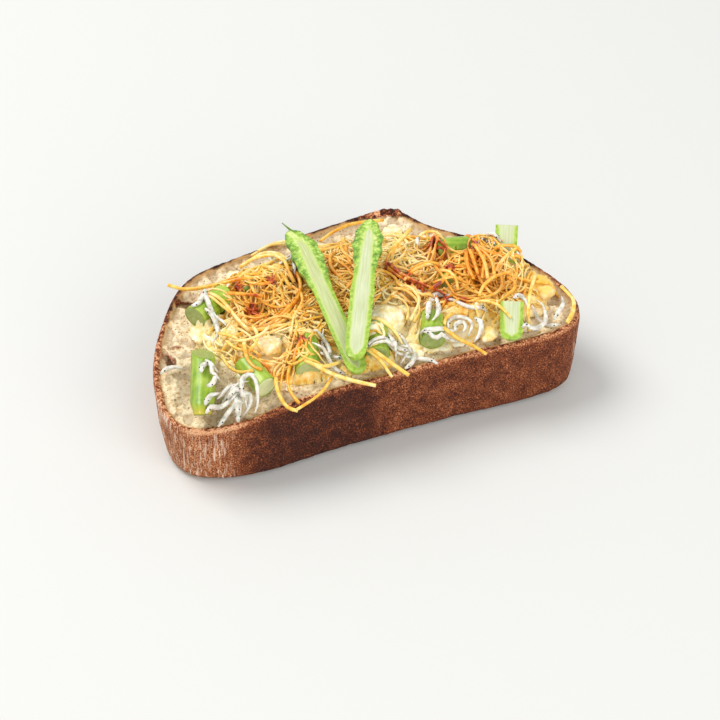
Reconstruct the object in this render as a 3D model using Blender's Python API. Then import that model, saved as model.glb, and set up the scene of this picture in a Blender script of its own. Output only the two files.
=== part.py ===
"""Asparagus tartine: a thick slice of country bread under melted cheese, whitebait, cut asparagus,
a tangle of crisp golden strands, and two asparagus spears halved lengthwise and laid in a V.

X runs along the slice's long flat edge, Y towards its domed back, Z up. The origin is on the face
that it rests on, under the middle of the slice. Lengths are in metres.
"""

import math
import random

import bmesh
import bpy
from mathutils import Matrix, Vector, geometry, noise

MM = 0.001
GAP = 0.4 * MM

# The slice of bread, as it lies on its cut face
SLICE_THICKNESS = 30 * MM
CORNER_SAG = 5.5 * MM
SAG_CORNER = Vector((-82, -48)) * MM
SAG_REACH = 46 * MM
CRUST_LINE_MM = (
    (-58, -47), (-20, -46), (25, -46), (66, -47.5), (80.5, -39), (81, -20), (69, 9), (49, 31),
    (39.5, 45), (20, 46.5), (-30, 41.5), (-54, 33), (-73, 7), (-83, -19), (-80, -38.5),
)
CRUST_POINTS = 78
FOOT_RADIUS = 1.6 * MM
FOOT_TUCK = 3.2 * MM
RIM_WIDTH = 3.2 * MM
RIM_HEIGHT = 0.7 * MM
CRUMB_DROP = 0.9 * MM
CRUMB_RELIEF = 0.5 * MM
CRUMB_RINGS = (0.86, 0.66, 0.42, 0.16)
SLICE_CENTRE = Vector((-2, -2)) * MM

# Holes that the dough's gas left beside the crust: x, y, length, width and depth, then its turn
ALVEOLI_MM = (
    (-55.5, 23.5, 8.0, 4.6, 3.4, -18),
    (-67.0, 0.8, 8.0, 3.6, 3.0, -20),
    (-72.0, -2.6, 3.4, 7.0, 3.4, 15),
    (-58.0, -43.6, 6.0, 2.6, 2.2, 5),
)

# The melted cheese on it
CHEESE_MARGIN = 8 * MM
CHEESE_WOBBLE = 1.6 * MM
CHEESE_DEPTH = 1.5 * MM
CHEESE_EDGE = 0.6 * MM
# Lumps that stand out of the layer: x, y, half length, half width, height over the bread, turn
LUMPS_MM = (
    (9.5, -22.0, 7.5, 6.0, 8.0, 20),
    (-35.0, -17.5, 7.0, 5.0, 7.6, 0),
    (71.0, -28.0, 5.0, 4.4, 5.6, -30),
    (42.0, -40.0, 4.6, 4.0, 2.8, 10),
    (-56.5, 0.0, 6.0, 5.0, 4.6, 60),
)

# The mat of strands: its outline, and how high it is heaped over the cheese
MAT_LINE_MM = (
    (-51, -25), (-38, -36), (-10, -40), (20, -39), (46, -37), (66, -32), (74.5, -22), (68, 2),
    (50, 20), (33, 33), (8, 35), (-24, 31), (-46, 20), (-52, -2),
)
MAT_CENTRE = Vector((8, -3)) * MM
MAT_EDGE = 0.9 * MM
MAT_CROWN = 6.2 * MM
MAT_POINTS = 26
MAT_SHARES = (0.86, 0.62, 0.34)
LAYER_POINTS = 38
LAYER_RINGS = (0.97, 0.82, 0.62, 0.4, 0.16)

# Cut pieces of asparagus: middle x, y and height over the bread, length, diameter, turn, tilt, half
STALKS_MM = {
    "stalk_front_left": (-66.6, -26.6, 5.3, 29, 9.2, 69, 9, False),
    "stalk_back_left": (-49.0, 12.0, 4.9, 18, 9.4, 28, 0, False),
    "stalk_middle_left": (-26.2, -27.8, 5.0, 18, 9.0, 71, 2, False),
    "stalk_front_stub": (-47.6, -31.0, 4.8, 15, 8.8, 99, 0, False),
    "stalk_middle_right": (0.6, -30.8, 4.8, 15, 8.8, 68, 3, False),
    "stalk_front_right": (22.4, -32.0, 4.9, 13, 9.2, 66, 3, False),
    "stalk_half_right": (49.5, -42.4, 8.6, 15, 8.8, 65, 33, True),
    "stalk_back_right": (50.0, 8.0, 5.0, 15, 9.0, -20, 4, False),
    "stalk_half_back": (65.0, -3.0, 10.0, 17, 8.8, 63, 33, True),
    "stalk_hidden_left": (-28.0, 17.5, 4.9, 16, 8.8, -10, 0, False),
    "stalk_hidden_right": (44.0, -5.0, 4.9, 15, 8.6, 30, 0, False),
}
STALK_SIDES = 12
CUTTER_SIDES = 8
HALF_CUT = -0.2
STALK_BIAS = 0.22

# Halved spears: the butt's and the tip's x, y and height of the cut face, and the butt's width
SPEARS_MM = {
    "spear_half_left": ((-13.6, -43.5, 36.6), (-9.9, 29.0, 47.0), 8.2),
    "spear_half_right": ((-12.9, -42.0, 41.9), (19.2, 20.4, 49.4), 8.4),
}
# The spear's half width along its length, as a share of the butt's: a stem, a full head, a tip
SPEAR_PROFILE = (
    (0.0, 0.86), (0.02, 1.0), (0.3, 1.0), (0.52, 1.04), (0.64, 1.16), (0.7, 1.1), (0.76, 1.3),
    (0.81, 1.2), (0.87, 1.34), (0.91, 1.14), (0.95, 0.98), (0.975, 0.66), (1.0, 0.22),
)
SPEAR_CUTTER = ((0.0, 1.12), (0.5, 1.12), (0.7, 1.46), (0.93, 1.46), (1.0, 0.7))
SPEAR_SIDES = 8
SPEAR_DEPTH = 0.5

# Whitebait: where they lie in clusters, x, y, radius and how many
FISH_ON_CHEESE_MM = (
    (-58.0, -37.0, 4.5, 4),
    (-70.5, -9.0, 2.5, 1),
    (-60.0, 16.0, 3.0, 1),
    (62.0, -39.5, 3.0, 2),
)
FISH_ON_MAT_MM = (
    (33.0, -32.5, 6.0, 4),
    (10.0, -34.5, 5.0, 3),
    (-18.5, -21.0, 4.0, 2),
    (29.0, -19.0, 4.0, 2),
    (41.0, 19.0, 4.0, 2),
    (-50.0, 17.0, 3.0, 1),
    (-14.0, 31.0, 3.0, 1),
)
FISH_LENGTH = 17 * MM
FISH_RADIUS = 0.95 * MM
FISH_TAPER = (0.6, 1.15, 1.0, 0.8, 0.55, 0.3)

# The crisp strands that are laid on the mat
STRAND_RADIUS = 0.9 * MM
STRAND_COUNT = 48
STRAND_STEP = 5.6 * MM
STRAND_STEPS = (6, 10)
STRAND_BEND = 0.5
GOLDEN_ANGLE = 2.39996
STRAND_SIDES = 4
STRAND_LIFT = 1.7 * MM
STRAND_ARCH = 1.9 * MM
SHORTEST_RUN = 3
# Strands that hang over an edge of the bread: x, y and height over the bread of each point
OVERHANGS_MM = (
    ((-60, 29, 5.0), (-54, 25, 3.4), (-46, 21, 3.4), (-38, 17.5, 5.5)),
    ((-24, 36, 3.2), (-16, 38, 3.6), (-8, 36.5, 4.2), (-2, 31, 5.0)),
    ((2, 28, 7.4), (8, 32, 6.6), (17, 35.6, 5.6), (25, 36.5, 4.4), (31, 37, 4.0)),
    ((-32, -38.4, 3.2), (-24.5, -40.5, 2.8), (-16.4, -45.5, 2.4), (-8.6, -51, 2.4)),
    ((-6, -37.5, 3.6), (-1.5, -42, 2.4), (5, -50.5, 2.2)),
    ((-39.5, -34.5, 4.2), (-40.5, -41, 2.2), (-42.5, -47, 1.8), (-39.5, -51.5, 1.5)),
    ((-38, -50, 1.5), (-29, -46.5, 2.0), (-20.5, -39, 2.6)),
    ((25, -38.5, 3.0), (28, -42, 2.0), (32, -45, 2.0), (36, -50, 1.6)),
)


def clear_scene():
    for obj in list(bpy.data.objects):
        bpy.data.objects.remove(obj, do_unlink=True)


def make_material(name, colour, roughness):
    material = bpy.data.materials.new(name)
    material.use_nodes = True
    shader = material.node_tree.nodes["Principled BSDF"]
    shader.inputs["Base Color"].default_value = (*colour, 1.0)
    shader.inputs["Roughness"].default_value = roughness
    shader.inputs["Metallic"].default_value = 0.0
    return material


def link_mesh(name, bm, material, collection=None):
    """The bmesh as a smooth-shaded object, with its faces pointing out."""
    bmesh.ops.triangulate(bm, faces=bm.faces)
    bmesh.ops.recalc_face_normals(bm, faces=bm.faces)
    mesh = bpy.data.meshes.new(name)
    bm.to_mesh(mesh)
    bm.free()
    mesh.materials.append(material)
    mesh.shade_smooth()
    mesh.set_sharp_from_angle(angle=math.radians(40))
    obj = bpy.data.objects.new(name, mesh)
    (collection or bpy.context.scene.collection).objects.link(obj)
    return obj


def closed_spline(corners_mm, count):
    """Points evenly spaced along the smooth closed line through the corners."""
    corners = [Vector((x, y, 0)) * MM for x, y in corners_mm]
    dense = []
    for i, start in enumerate(corners):
        before, end = corners[i - 1], corners[(i + 1) % len(corners)]
        after = corners[(i + 2) % len(corners)]
        handles = start + (end - before) / 6, end - (after - start) / 6
        dense += geometry.interpolate_bezier(start, *handles, end, 24)[:-1]
    dense.append(dense[0])
    reach = [0.0]
    for a, b in zip(dense, dense[1:]):
        reach.append(reach[-1] + (b - a).length)
    points, k = [], 0
    for i in range(count):
        target = reach[-1] * i / count
        while reach[k + 1] < target:
            k += 1
        share = (target - reach[k]) / (reach[k + 1] - reach[k])
        points.append(dense[k].lerp(dense[k + 1], share).xy)
    return points


def inset(line, distance):
    """The line moved inwards; distance is a length, or a function of the point's number."""
    moved = []
    for i, point in enumerate(line):
        along = line[(i + 1) % len(line)] - line[i - 1]
        inwards = Vector((-along.y, along.x)).normalized()
        moved.append(point + inwards * (distance(i) if callable(distance) else distance))
    return moved


def scaled(line, share, centre):
    return [centre + (point - centre) * share for point in line]


def at_height(line, height):
    return [Vector((p.x, p.y, height(p.x, p.y))) for p in line]


def loft(rings):
    """A closed bmesh through the rings, from the first, which is the bottom, to the last."""
    bm = bmesh.new()
    loops = []
    for ring in rings:
        verts = [bm.verts.new(point) for point in ring]
        loops.append([bm.edges.new((verts[i - 1], verts[i])) for i in range(len(verts))])
    for lower, upper in zip(loops, loops[1:]):
        bmesh.ops.bridge_loops(bm, edges=lower + upper)
    for loop in (loops[0], loops[-1]):
        bmesh.ops.edgeloop_fill(bm, edges=loop)
    return bm


def smooth_step(value):
    value = min(1.0, max(0.0, value))
    return value * value * (3 - 2 * value)


def bread_top(x, y):
    """The slice's upper cut face, which sags towards its front left corner."""
    distance = (Vector((x, y)) - SAG_CORNER).length
    return SLICE_THICKNESS - CORNER_SAG * smooth_step(1 - distance / SAG_REACH)


def ripple(x, y, size, seed=0.0):
    return noise.noise(Vector((x / size, y / size, seed)))


def reach_of(line, centre, x, y):
    """How far out a point is, from 0 at the centre to 1 on the line."""
    arm = Vector((x, y)) - centre
    if arm.length < 1e-9:
        return 0.0
    turn = math.atan2(arm.y, arm.x)
    for i, end in enumerate(line):
        a, b = line[i - 1] - centre, end - centre
        gap = math.remainder(math.atan2(b.y, b.x) - math.atan2(a.y, a.x), math.tau)
        into = math.remainder(turn - math.atan2(a.y, a.x), math.tau)
        if gap and 0 <= into / gap <= 1:
            return arm.length / a.lerp(b, into / gap).length
    return 2.0


CRUST_LINE = closed_spline(CRUST_LINE_MM, CRUST_POINTS)
CHEESE_LINE = inset(
    closed_spline(CRUST_LINE_MM, LAYER_POINTS),
    lambda i: CHEESE_MARGIN + CHEESE_WOBBLE * math.sin(2.4 * i),
)
MAT_LINE = closed_spline(MAT_LINE_MM, MAT_POINTS)


def lump_height(x, y):
    """The top of the cheese lump under this point, with room for a strand, or 0 for none."""
    highest, room = 0.0, 1.7
    for cx, cy, half_length, half_width, height, turn in LUMPS_MM:
        arm = Matrix.Rotation(-math.radians(turn), 2) @ (Vector((x, y)) / MM - Vector((cx, cy)))
        share = (arm.x / (half_length + room)) ** 2 + (arm.y / (half_width + room)) ** 2
        if share < 1:
            rise = (height + room / 2) * math.sqrt(1 - share) * MM
            highest = max(highest, bread_top(x, y) + rise)
    return highest


def cheese_top(x, y):
    return bread_top(x, y) + CHEESE_DEPTH + 0.3 * MM * ripple(x, y, 9 * MM)


def mat_base(x, y):
    return bread_top(x, y) + CHEESE_DEPTH + 0.25 * MM + GAP


def mat_top(x, y):
    """The heap's upper side: highest in the middle, thin where it ends."""
    reach = min(1.0, reach_of(MAT_LINE, MAT_CENTRE, x, y))
    crown = MAT_CROWN * (1 - reach**2) ** 0.8
    return bread_top(x, y) + CHEESE_DEPTH + MAT_EDGE + crown + 1.1 * MM * ripple(x, y, 14 * MM, 3)


def stalk_height(x, y):
    """The top of the stalk under this point, with room for a strand, or 0 where there is none."""
    highest = 0.0
    for name, (_, _, _, _, diameter, _, _, half) in STALKS_MM.items():
        if half:
            continue
        start, end = stalk_ends(name)
        here = Vector((x, y, 0))
        share = geometry.intersect_point_line(here, start.xy.to_3d(), end.xy.to_3d())[1]
        nearest = start.lerp(end, max(0.0, min(1.0, share)))
        radius = diameter / 2 * MM + 2.2 * MM
        beside = (nearest.xy - here.xy).length
        if beside < radius:
            highest = max(highest, nearest.z + math.sqrt(radius**2 - beside**2) - GAP)
    return highest


def laid_on(x, y):
    """The highest thing under a strand, apart from the mat."""
    over_cheese = reach_of(CHEESE_LINE, SLICE_CENTRE, x, y) < 1.03
    bare = bread_top(x, y) + RIM_HEIGHT
    layer = cheese_top(x, y) if over_cheese else bare
    for fx, fy, reach, _ in FISH_ON_CHEESE_MM:
        if (Vector((x - fx * MM, y - fy * MM))).length < (reach + 4) * MM:
            layer = max(layer, bread_top(x, y) + CHEESE_DEPTH + 2 * MM)
    return max(layer, bare, lump_height(x, y), stalk_height(x, y))


def make_bread(material):
    """The slice: a crust side, a raised browned rim, and a crumb face with shallow relief."""

    def uneven(size, seed):
        return lambda i: size * ripple(CRUST_LINE[i].x, CRUST_LINE[i].y, 11 * MM, seed)

    def tucked(share):
        return [Vector((p.x * (1 - FOOT_TUCK * share / 0.083), p.y)) for p in CRUST_LINE]

    def crumb(x, y):
        return bread_top(x, y) - CRUMB_DROP + CRUMB_RELIEF * ripple(x, y, 5 * MM)

    rim_inner = inset(CRUST_LINE, RIM_WIDTH)
    rings = [
        at_height(inset(tucked(1.0), FOOT_RADIUS), lambda x, y: 0.0),
        at_height(tucked(0.95), lambda x, y: FOOT_RADIUS),
        at_height(inset(tucked(0.5), uneven(1.2 * MM, 1)), lambda x, y: bread_top(x, y) * 0.5),
        at_height(inset(CRUST_LINE, 0.2 * MM), lambda x, y: bread_top(x, y) - 1.8 * MM),
        at_height(inset(CRUST_LINE, 0.9 * MM), lambda x, y: bread_top(x, y) + RIM_HEIGHT * 0.8),
        at_height(inset(CRUST_LINE, 1.9 * MM), lambda x, y: bread_top(x, y) + RIM_HEIGHT * 0.6),
        at_height(rim_inner, crumb),
    ]
    rings += [at_height(scaled(rim_inner, share, SLICE_CENTRE), crumb) for share in CRUMB_RINGS]
    bread = link_mesh("bread_slice", loft(rings), material)
    holes = bpy.data.collections.new("alveoli")
    for x, y, length, width, depth, turn in ALVEOLI_MM:
        centre = Vector((x, y, 0)) * MM
        centre.z = bread_top(centre.x, centre.y) - 0.4 * MM
        size = Vector((length / 2, width / 2, depth)) * MM
        blob("alveolus", centre, size, turn, material, holes)
    combine(bread, holes, "DIFFERENCE")
    return bread


def blob(name, centre, half_sizes, turn, material, collection, below=1.0, detail=2):
    """A rounded lump, turned about Z by a number of degrees, its lower half scaled by below."""
    bm = bmesh.new()
    bmesh.ops.create_icosphere(bm, subdivisions=detail, radius=1.0)
    for vert in bm.verts:
        vert.co.z *= 1.0 if vert.co.z > 0 else below
    place = Matrix.Translation(centre) @ Matrix.Rotation(math.radians(turn), 4, "Z")
    bm.transform(place @ Matrix.Diagonal((*half_sizes, 1)))
    return link_mesh(name, bm, material, collection)


def add_lumps(material, collection, grown=0.0, detail=2):
    """The lumps of cheese as domes that start inside the layer."""
    for x, y, half_length, half_width, height, turn in LUMPS_MM:
        centre = Vector((x, y, 0)) * MM
        centre.z = bread_top(centre.x, centre.y) + 0.7 * MM
        size = Vector((half_length, half_width, height - 0.7)) * MM + Vector((grown,) * 3)
        blob("lump", centre, size, turn, material, collection, 0.05, detail)


def combine(obj, collection, operation, solver="MANIFOLD"):
    """Joins the collection to the object, or cuts it away, and removes the collection."""
    modifier = obj.modifiers.new(operation.lower(), "BOOLEAN")
    modifier.operation = operation
    modifier.operand_type = "COLLECTION"
    modifier.collection = collection
    modifier.solver = solver
    graph = bpy.context.evaluated_depsgraph_get()
    made = bpy.data.meshes.new_from_object(obj.evaluated_get(graph))
    obj.modifiers.clear()
    obj.data = made
    for helper in list(collection.objects):
        bpy.data.objects.remove(helper, do_unlink=True)
    bpy.data.collections.remove(collection)


def keep_largest(obj):
    """Drops loose scraps, and the inner shells of hollows that the joining sealed."""
    bm = bmesh.new()
    bm.from_mesh(obj.data)
    left, islands = set(bm.verts), []
    while left:
        island, edge = set(), {left.pop()}
        while edge:
            island |= edge
            edge = {e.other_vert(v) for v in edge for e in v.link_edges} - island
        left -= island
        islands.append(island)
    largest = max(islands, key=len)
    scraps = [v for v in bm.verts if v not in largest]
    bmesh.ops.delete(bm, geom=scraps, context="VERTS")
    bm.to_mesh(obj.data)
    bm.free()


def stalk_place(name):
    """The matrix that turns a stalk along X at the origin to where it lies."""
    x, y, height, _, _, turn, tilt, _ = STALKS_MM[name]
    middle = Vector((x, y, 0)) * MM
    middle.z = bread_top(middle.x, middle.y) + height * MM
    turned = Matrix.Rotation(math.radians(turn), 4, "Z")
    return Matrix.Translation(middle) @ turned @ Matrix.Rotation(-math.radians(tilt), 4, "Y")


def stalk_ends(name):
    half = stalk_place(name).to_3x3() @ Vector((STALKS_MM[name][3] / 2, 0, 0)) * MM
    middle = stalk_place(name).translation
    return middle - half, middle + half


def stalk_mesh(name, grown=0.0):
    """A cut length of stem, round or halved, with its ends cut on the bias."""
    _, _, _, length, diameter, _, _, half = STALKS_MM[name]
    sides = CUTTER_SIDES if grown else STALK_SIDES
    radius = (diameter / 2 * MM + grown) / (math.cos(math.pi / sides) if grown else 1)
    depth = length * MM + 2 * grown
    bm = bmesh.new()
    bmesh.ops.create_cone(
        bm, cap_ends=True, segments=sides, radius1=radius, radius2=radius * 0.96,
        depth=depth, matrix=Matrix.Rotation(math.radians(90), 4, "Y"),
    )
    if not grown:
        ends = [edge for edge in bm.edges if edge.verts[0].co.x * edge.verts[1].co.x > 0]
        bmesh.ops.bevel(
            bm, geom=ends, offset=0.5 * MM, offset_type="OFFSET", affect="EDGES", segments=1,
            profile=0.5, material=-1,
        )
    for vert in bm.verts:
        vert.co.x += STALK_BIAS * vert.co.y * (1 if vert.co.x > 0 else -0.4)
    if half:
        flat = Vector((0, 0, diameter / 2 * MM * HALF_CUT + grown))
        geom = bm.verts[:] + bm.edges[:] + bm.faces[:]
        cut = bmesh.ops.bisect_plane(
            bm, geom=geom, plane_co=flat, plane_no=(0, 0, 1), clear_outer=True
        )
        rim = [e for e in cut["geom_cut"] if isinstance(e, bmesh.types.BMEdge)]
        bmesh.ops.edgeloop_fill(bm, edges=rim)
    bm.transform(stalk_place(name))
    return bm


def spear_mesh(name, grown=0.0):
    """Half a spear with its cut face up, lofted through half-round sections."""
    butt, tip, width = SPEARS_MM[name]
    butt, tip, half_width = Vector(butt) * MM, Vector(tip) * MM, width / 2 * MM
    along = (tip - butt).normalized()
    across = along.cross(Vector((0, 0, 1))).normalized()
    out = across.cross(along)
    butt, tip = butt - along * grown, tip + along * grown
    rings = []
    sides = SPEAR_SIDES // 2 if grown else SPEAR_SIDES
    grown /= math.cos(math.pi / sides / 2) if grown else 1
    for share, size in SPEAR_CUTTER if grown else SPEAR_PROFILE:
        middle = butt.lerp(tip, share) + out * grown
        radius = half_width * size + grown
        ring = []
        for i in range(sides + 1):
            turn = math.pi * i / sides
            depth = radius * 2 * SPEAR_DEPTH + (grown if 0 < i < sides else 0)
            ring.append(middle + across * radius * math.cos(turn) - out * depth * math.sin(turn))
        rings.append(ring)
    return loft(rings)


def cutters(name, material, with_spears):
    """Grown copies of the stalks, and of the spears, that leave a gap where they cut."""
    collection = bpy.data.collections.new(name)
    for stalk in STALKS_MM:
        link_mesh("cutter", stalk_mesh(stalk, GAP), material, collection)
    for spear in SPEARS_MM if with_spears else ():
        link_mesh("cutter", spear_mesh(spear, GAP), material, collection)
    return collection


def tube(points, radii, sides, material, collection):
    """A closed tube of so many flat sides through the points."""
    rings = []
    for i, (point, radius) in enumerate(zip(points, radii)):
        along = (points[min(i + 1, len(points) - 1)] - points[max(i - 1, 0)]).normalized()
        across = along.cross(Vector((0, 0, 1))).normalized()
        out = across.cross(along)
        turns = [math.tau * k / sides for k in range(sides)]
        rings.append([point + (across * math.cos(t) + out * math.sin(t)) * radius for t in turns])
    return link_mesh("tube", loft(rings), material, collection)


def clearance(point, radius):
    """How far a ball of this radius is from the nearest stalk or spear."""
    nearest = 1.0
    for name, (_, _, _, _, diameter, *_) in STALKS_MM.items():
        start, end = stalk_ends(name)
        share = max(-0.1, min(1.1, geometry.intersect_point_line(point, start, end)[1]))
        nearest = min(nearest, (point - start.lerp(end, share)).length - diameter / 2 * MM)
    for butt, tip, width in SPEARS_MM.values():
        start, end = Vector(butt) * MM, Vector(tip) * MM
        share = max(0.0, min(1.0, geometry.intersect_point_line(point, start, end)[1]))
        offset = point - start.lerp(end, share)
        beside = offset.xy.length if offset.z > 0 else offset.length
        nearest = min(nearest, beside - width / 2 * (1 if share < 0.5 else 1.36) * MM)
    return nearest - radius


def clear_run(points, radius):
    """The longest stretch of the points that keeps clear of the stalks and spears."""
    best, run = [], []
    for i, point in enumerate(points):
        halfway = point.lerp(points[i - 1], 0.5) if run else point
        room = min(clearance(point, radius), clearance(halfway, radius))
        run = run + [point] if room > GAP + 0.2 * MM else []
        if len(run) > len(best):
            best = run
    return best


def strand_route(chance, share, level):
    """A strand whose ends dip into the mat; share is 0 in the middle of the heap, 1 at its edge."""
    turn, reach = share * STRAND_COUNT * GOLDEN_ANGLE, math.sqrt(share) * 0.97
    place = MAT_CENTRE + Vector((math.cos(turn) * 62 * MM, math.sin(turn) * 35 * MM)) * reach
    heading, bend = chance.uniform(0, math.tau), 0.0
    steps = chance.randint(*STRAND_STEPS)
    place -= Vector((math.cos(heading), math.sin(heading))) * STRAND_STEP * steps / 2
    points = []
    for i in range(steps + 1):
        arch = (STRAND_LIFT + STRAND_ARCH * level) * min(1.0, 2 * math.sin(math.pi * i / steps))
        low = laid_on(place.x, place.y) + GAP + STRAND_RADIUS + 0.3 * MM
        high = mat_top(place.x, place.y) - 0.5 * MM + arch
        if reach_of(MAT_LINE, MAT_CENTRE, place.x, place.y) < 1.06:
            points.append(Vector((place.x, place.y, max(low, high))))
        bend = 0.6 * bend + chance.uniform(-STRAND_BEND, STRAND_BEND)
        heading += bend
        place = place + Vector((math.cos(heading), math.sin(heading))) * STRAND_STEP
    return points


def overhang_route(corners_mm):
    points = []
    for x, y, height in corners_mm:
        point = Vector((x, y, 0)) * MM
        point.z = bread_top(point.x, point.y) + height * MM
        points.append(point)
    return points


def fish_route(chance, cluster_mm, surface):
    """A curled whitebait that lies half sunk in the surface, turning back at its cluster's edge."""
    x, y, reach, _ = cluster_mm
    middle = Vector((x, y)) * MM
    place = middle + Vector((chance.uniform(-1, 1), chance.uniform(-1, 1))) * reach * 0.5 * MM
    heading, bend = chance.uniform(0, math.tau), chance.uniform(-0.7, 0.7)
    step = FISH_LENGTH / (len(FISH_TAPER) - 1)
    points = []
    for _ in FISH_TAPER:
        points.append(Vector((place.x, place.y, surface(place.x, place.y) + 0.4 * MM)))
        inwards = (middle - place).angle_signed(Vector((math.cos(heading), math.sin(heading))), 0)
        away = (place - middle).length > reach * MM
        heading += math.copysign(1.1, inwards) if away else bend
        place = place + Vector((math.cos(heading), math.sin(heading))) * step
    return points


def add_fish(seed, clusters_mm, surface, material, collection):
    """Whitebait on the mat or, for the cheese, well outside it."""
    chance = random.Random(seed)
    least = 0.0 if surface is mat_top else 1.06
    for cluster in clusters_mm:
        laid = tries = 0
        while laid < cluster[3] and tries < 40:
            tries += 1
            points = clear_run(fish_route(chance, cluster, surface), FISH_RADIUS)
            outside = all(reach_of(MAT_LINE, MAT_CENTRE, p.x, p.y) > least for p in points)
            if len(points) == len(FISH_TAPER) and outside:
                radii = [FISH_RADIUS * share for share in FISH_TAPER]
                tube(points, radii, 4, material, collection)
                laid += 1


def make_cheese(material):
    """The melted layer with its lumps, cut round the stalks, with the whitebait fused on."""
    rings = [
        at_height(scaled(CHEESE_LINE, share, SLICE_CENTRE), bread_top) for share in (0.6, 0.8)
    ]
    rings.append(at_height(CHEESE_LINE, bread_top))
    rings.append(at_height(CHEESE_LINE, lambda x, y: bread_top(x, y) + CHEESE_EDGE))
    for share in LAYER_RINGS:
        rings.append(at_height(scaled(CHEESE_LINE, share, SLICE_CENTRE), cheese_top))
    cheese = link_mesh("melted_cheese", loft(rings), material)
    lumps = bpy.data.collections.new("lumps")
    add_lumps(material, lumps)
    combine(cheese, lumps, "UNION")
    combine(cheese, cutters("stalks in cheese", material, False), "DIFFERENCE")
    fish = bpy.data.collections.new("fish")
    add_fish(5, FISH_ON_CHEESE_MM, cheese_top, material, fish)
    combine(cheese, fish, "UNION")
    keep_largest(cheese)


def make_strands(material):
    """The heap of strands: a mat fitted to what lies in it, with the outer strands fused on."""
    rings = [at_height(MAT_LINE, lambda x, y: 24 * MM), at_height(MAT_LINE, mat_top)]
    for share in MAT_SHARES:
        rings.append(at_height(scaled(MAT_LINE, share, MAT_CENTRE), mat_top))
    mat = link_mesh("golden_strands", loft(rings), material)
    under = bpy.data.collections.new("under")
    line = closed_spline(CRUST_LINE_MM, 24)
    layers = [at_height(scaled(line, 1.1, SLICE_CENTRE), lambda x, y: 10 * MM)]
    for share in (1.1, 0.9, 0.78, 0.66, 0.54):
        layers.append(at_height(scaled(line, share, SLICE_CENTRE), mat_base))
    link_mesh("cutter", loft(layers), material, under)
    add_lumps(material, under, GAP + 1.2 * MM, detail=1)
    combine(mat, under, "DIFFERENCE")
    combine(mat, cutters("stalks and spears in mat", material, True), "DIFFERENCE")
    keep_largest(mat)
    chance = random.Random(11)
    routes = [overhang_route(corners) for corners in OVERHANGS_MM]
    for i in range(STRAND_COUNT):
        routes.append(strand_route(chance, (i + 0.5) / STRAND_COUNT, i % 3))
    strands = bpy.data.collections.new("strands")
    for route in routes:
        run = clear_run(route, STRAND_RADIUS)
        if len(run) >= SHORTEST_RUN:
            tube(run, [STRAND_RADIUS] * len(run), STRAND_SIDES, material, strands)
    add_fish(7, FISH_ON_MAT_MM, mat_top, material, strands)
    combine(mat, strands, "UNION")
    keep_largest(mat)


def main():
    clear_scene()
    crust = make_material("crust", (0.22, 0.085, 0.035), 0.75)
    cheese = make_material("cheese", (0.85, 0.68, 0.32), 0.4)
    green = make_material("asparagus", (0.33, 0.52, 0.08), 0.4)
    golden = make_material("strands", (0.85, 0.45, 0.08), 0.5)
    make_bread(crust)
    for name in STALKS_MM:
        link_mesh(name, stalk_mesh(name), green)
    for name in SPEARS_MM:
        link_mesh(name, spear_mesh(name), green)
    make_cheese(cheese)
    make_strands(golden)


main()
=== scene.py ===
"""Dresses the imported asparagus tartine: a thick slice of dark country bread under melted cheese,
cut asparagus, whitebait and a tangle of crisp golden strands, with two halved spears in a V.
"""

import math
import random

import bmesh
import bpy
import numpy as np
from mathutils import Matrix, Vector, geometry, noise


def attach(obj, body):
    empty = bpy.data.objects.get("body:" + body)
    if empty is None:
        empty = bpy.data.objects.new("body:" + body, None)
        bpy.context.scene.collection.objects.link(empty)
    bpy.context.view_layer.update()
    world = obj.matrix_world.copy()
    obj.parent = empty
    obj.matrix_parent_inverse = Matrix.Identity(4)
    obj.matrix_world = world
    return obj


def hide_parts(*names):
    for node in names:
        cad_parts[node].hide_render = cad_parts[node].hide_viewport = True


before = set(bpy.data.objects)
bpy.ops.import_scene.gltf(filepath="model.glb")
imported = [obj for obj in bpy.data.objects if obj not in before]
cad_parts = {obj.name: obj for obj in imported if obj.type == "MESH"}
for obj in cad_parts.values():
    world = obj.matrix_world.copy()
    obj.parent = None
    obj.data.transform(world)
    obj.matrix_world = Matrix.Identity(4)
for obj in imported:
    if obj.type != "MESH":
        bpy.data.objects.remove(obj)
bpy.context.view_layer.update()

# The slice of bread
# A country loaf of wheat and rye, baked dark on a stone and cut thick across. Its crust is dry and
# finely grained, and its crumb is moist and cream-coloured, with holes that the leaven blew.
MM = 0.001
BREAD_TOP = 30 * MM
CRUST_LINE_MM = (
    (-58, -47), (-20, -46), (25, -46), (66, -47.5), (80.5, -39), (81, -20), (69, 9), (49, 31),
    (39.5, 45), (20, 46.5), (-30, 41.5), (-54, 33), (-73, 7), (-83, -19), (-80, -38.5),
)
SLICE_VOXEL = 0.75 * MM
CRUST_WIDTH = 2.4 * MM
TOASTED_WIDTH = 2.4 * MM
# The torn ear at the back: where it is, its reach along x and along y, and the height it starts at
EAR_MM = (37, 44.5)
EAR_REACH_MM = (8, 4)
EAR_FOOT = 19 * MM
# Where the rim charred: x, y, radius and how much
CHARRED_MM = ((76, -4, 4.5, 1.0), (82, -24, 4.5, 1.0), (60, 18, 4.5, 1.0))
# A deep hole that opened beside the left crust: x, y, half its size along x and along y. Its depth
# is that of this many of the deepest pits in the crumb.
HOLE_MM = (-71.6, -5.2, 1.7, 4.2)
HOLE_DEPTH = 2.6
PIT_DEPTH = 0.9 * MM
FOOT_ROUND = 1.2 * MM
CREASE_X = -3 * MM
SAG_CORNER_MM = (-82, -48)
SAG_REACH = 46 * MM
CORNER_SAG = 5.5 * MM


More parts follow.
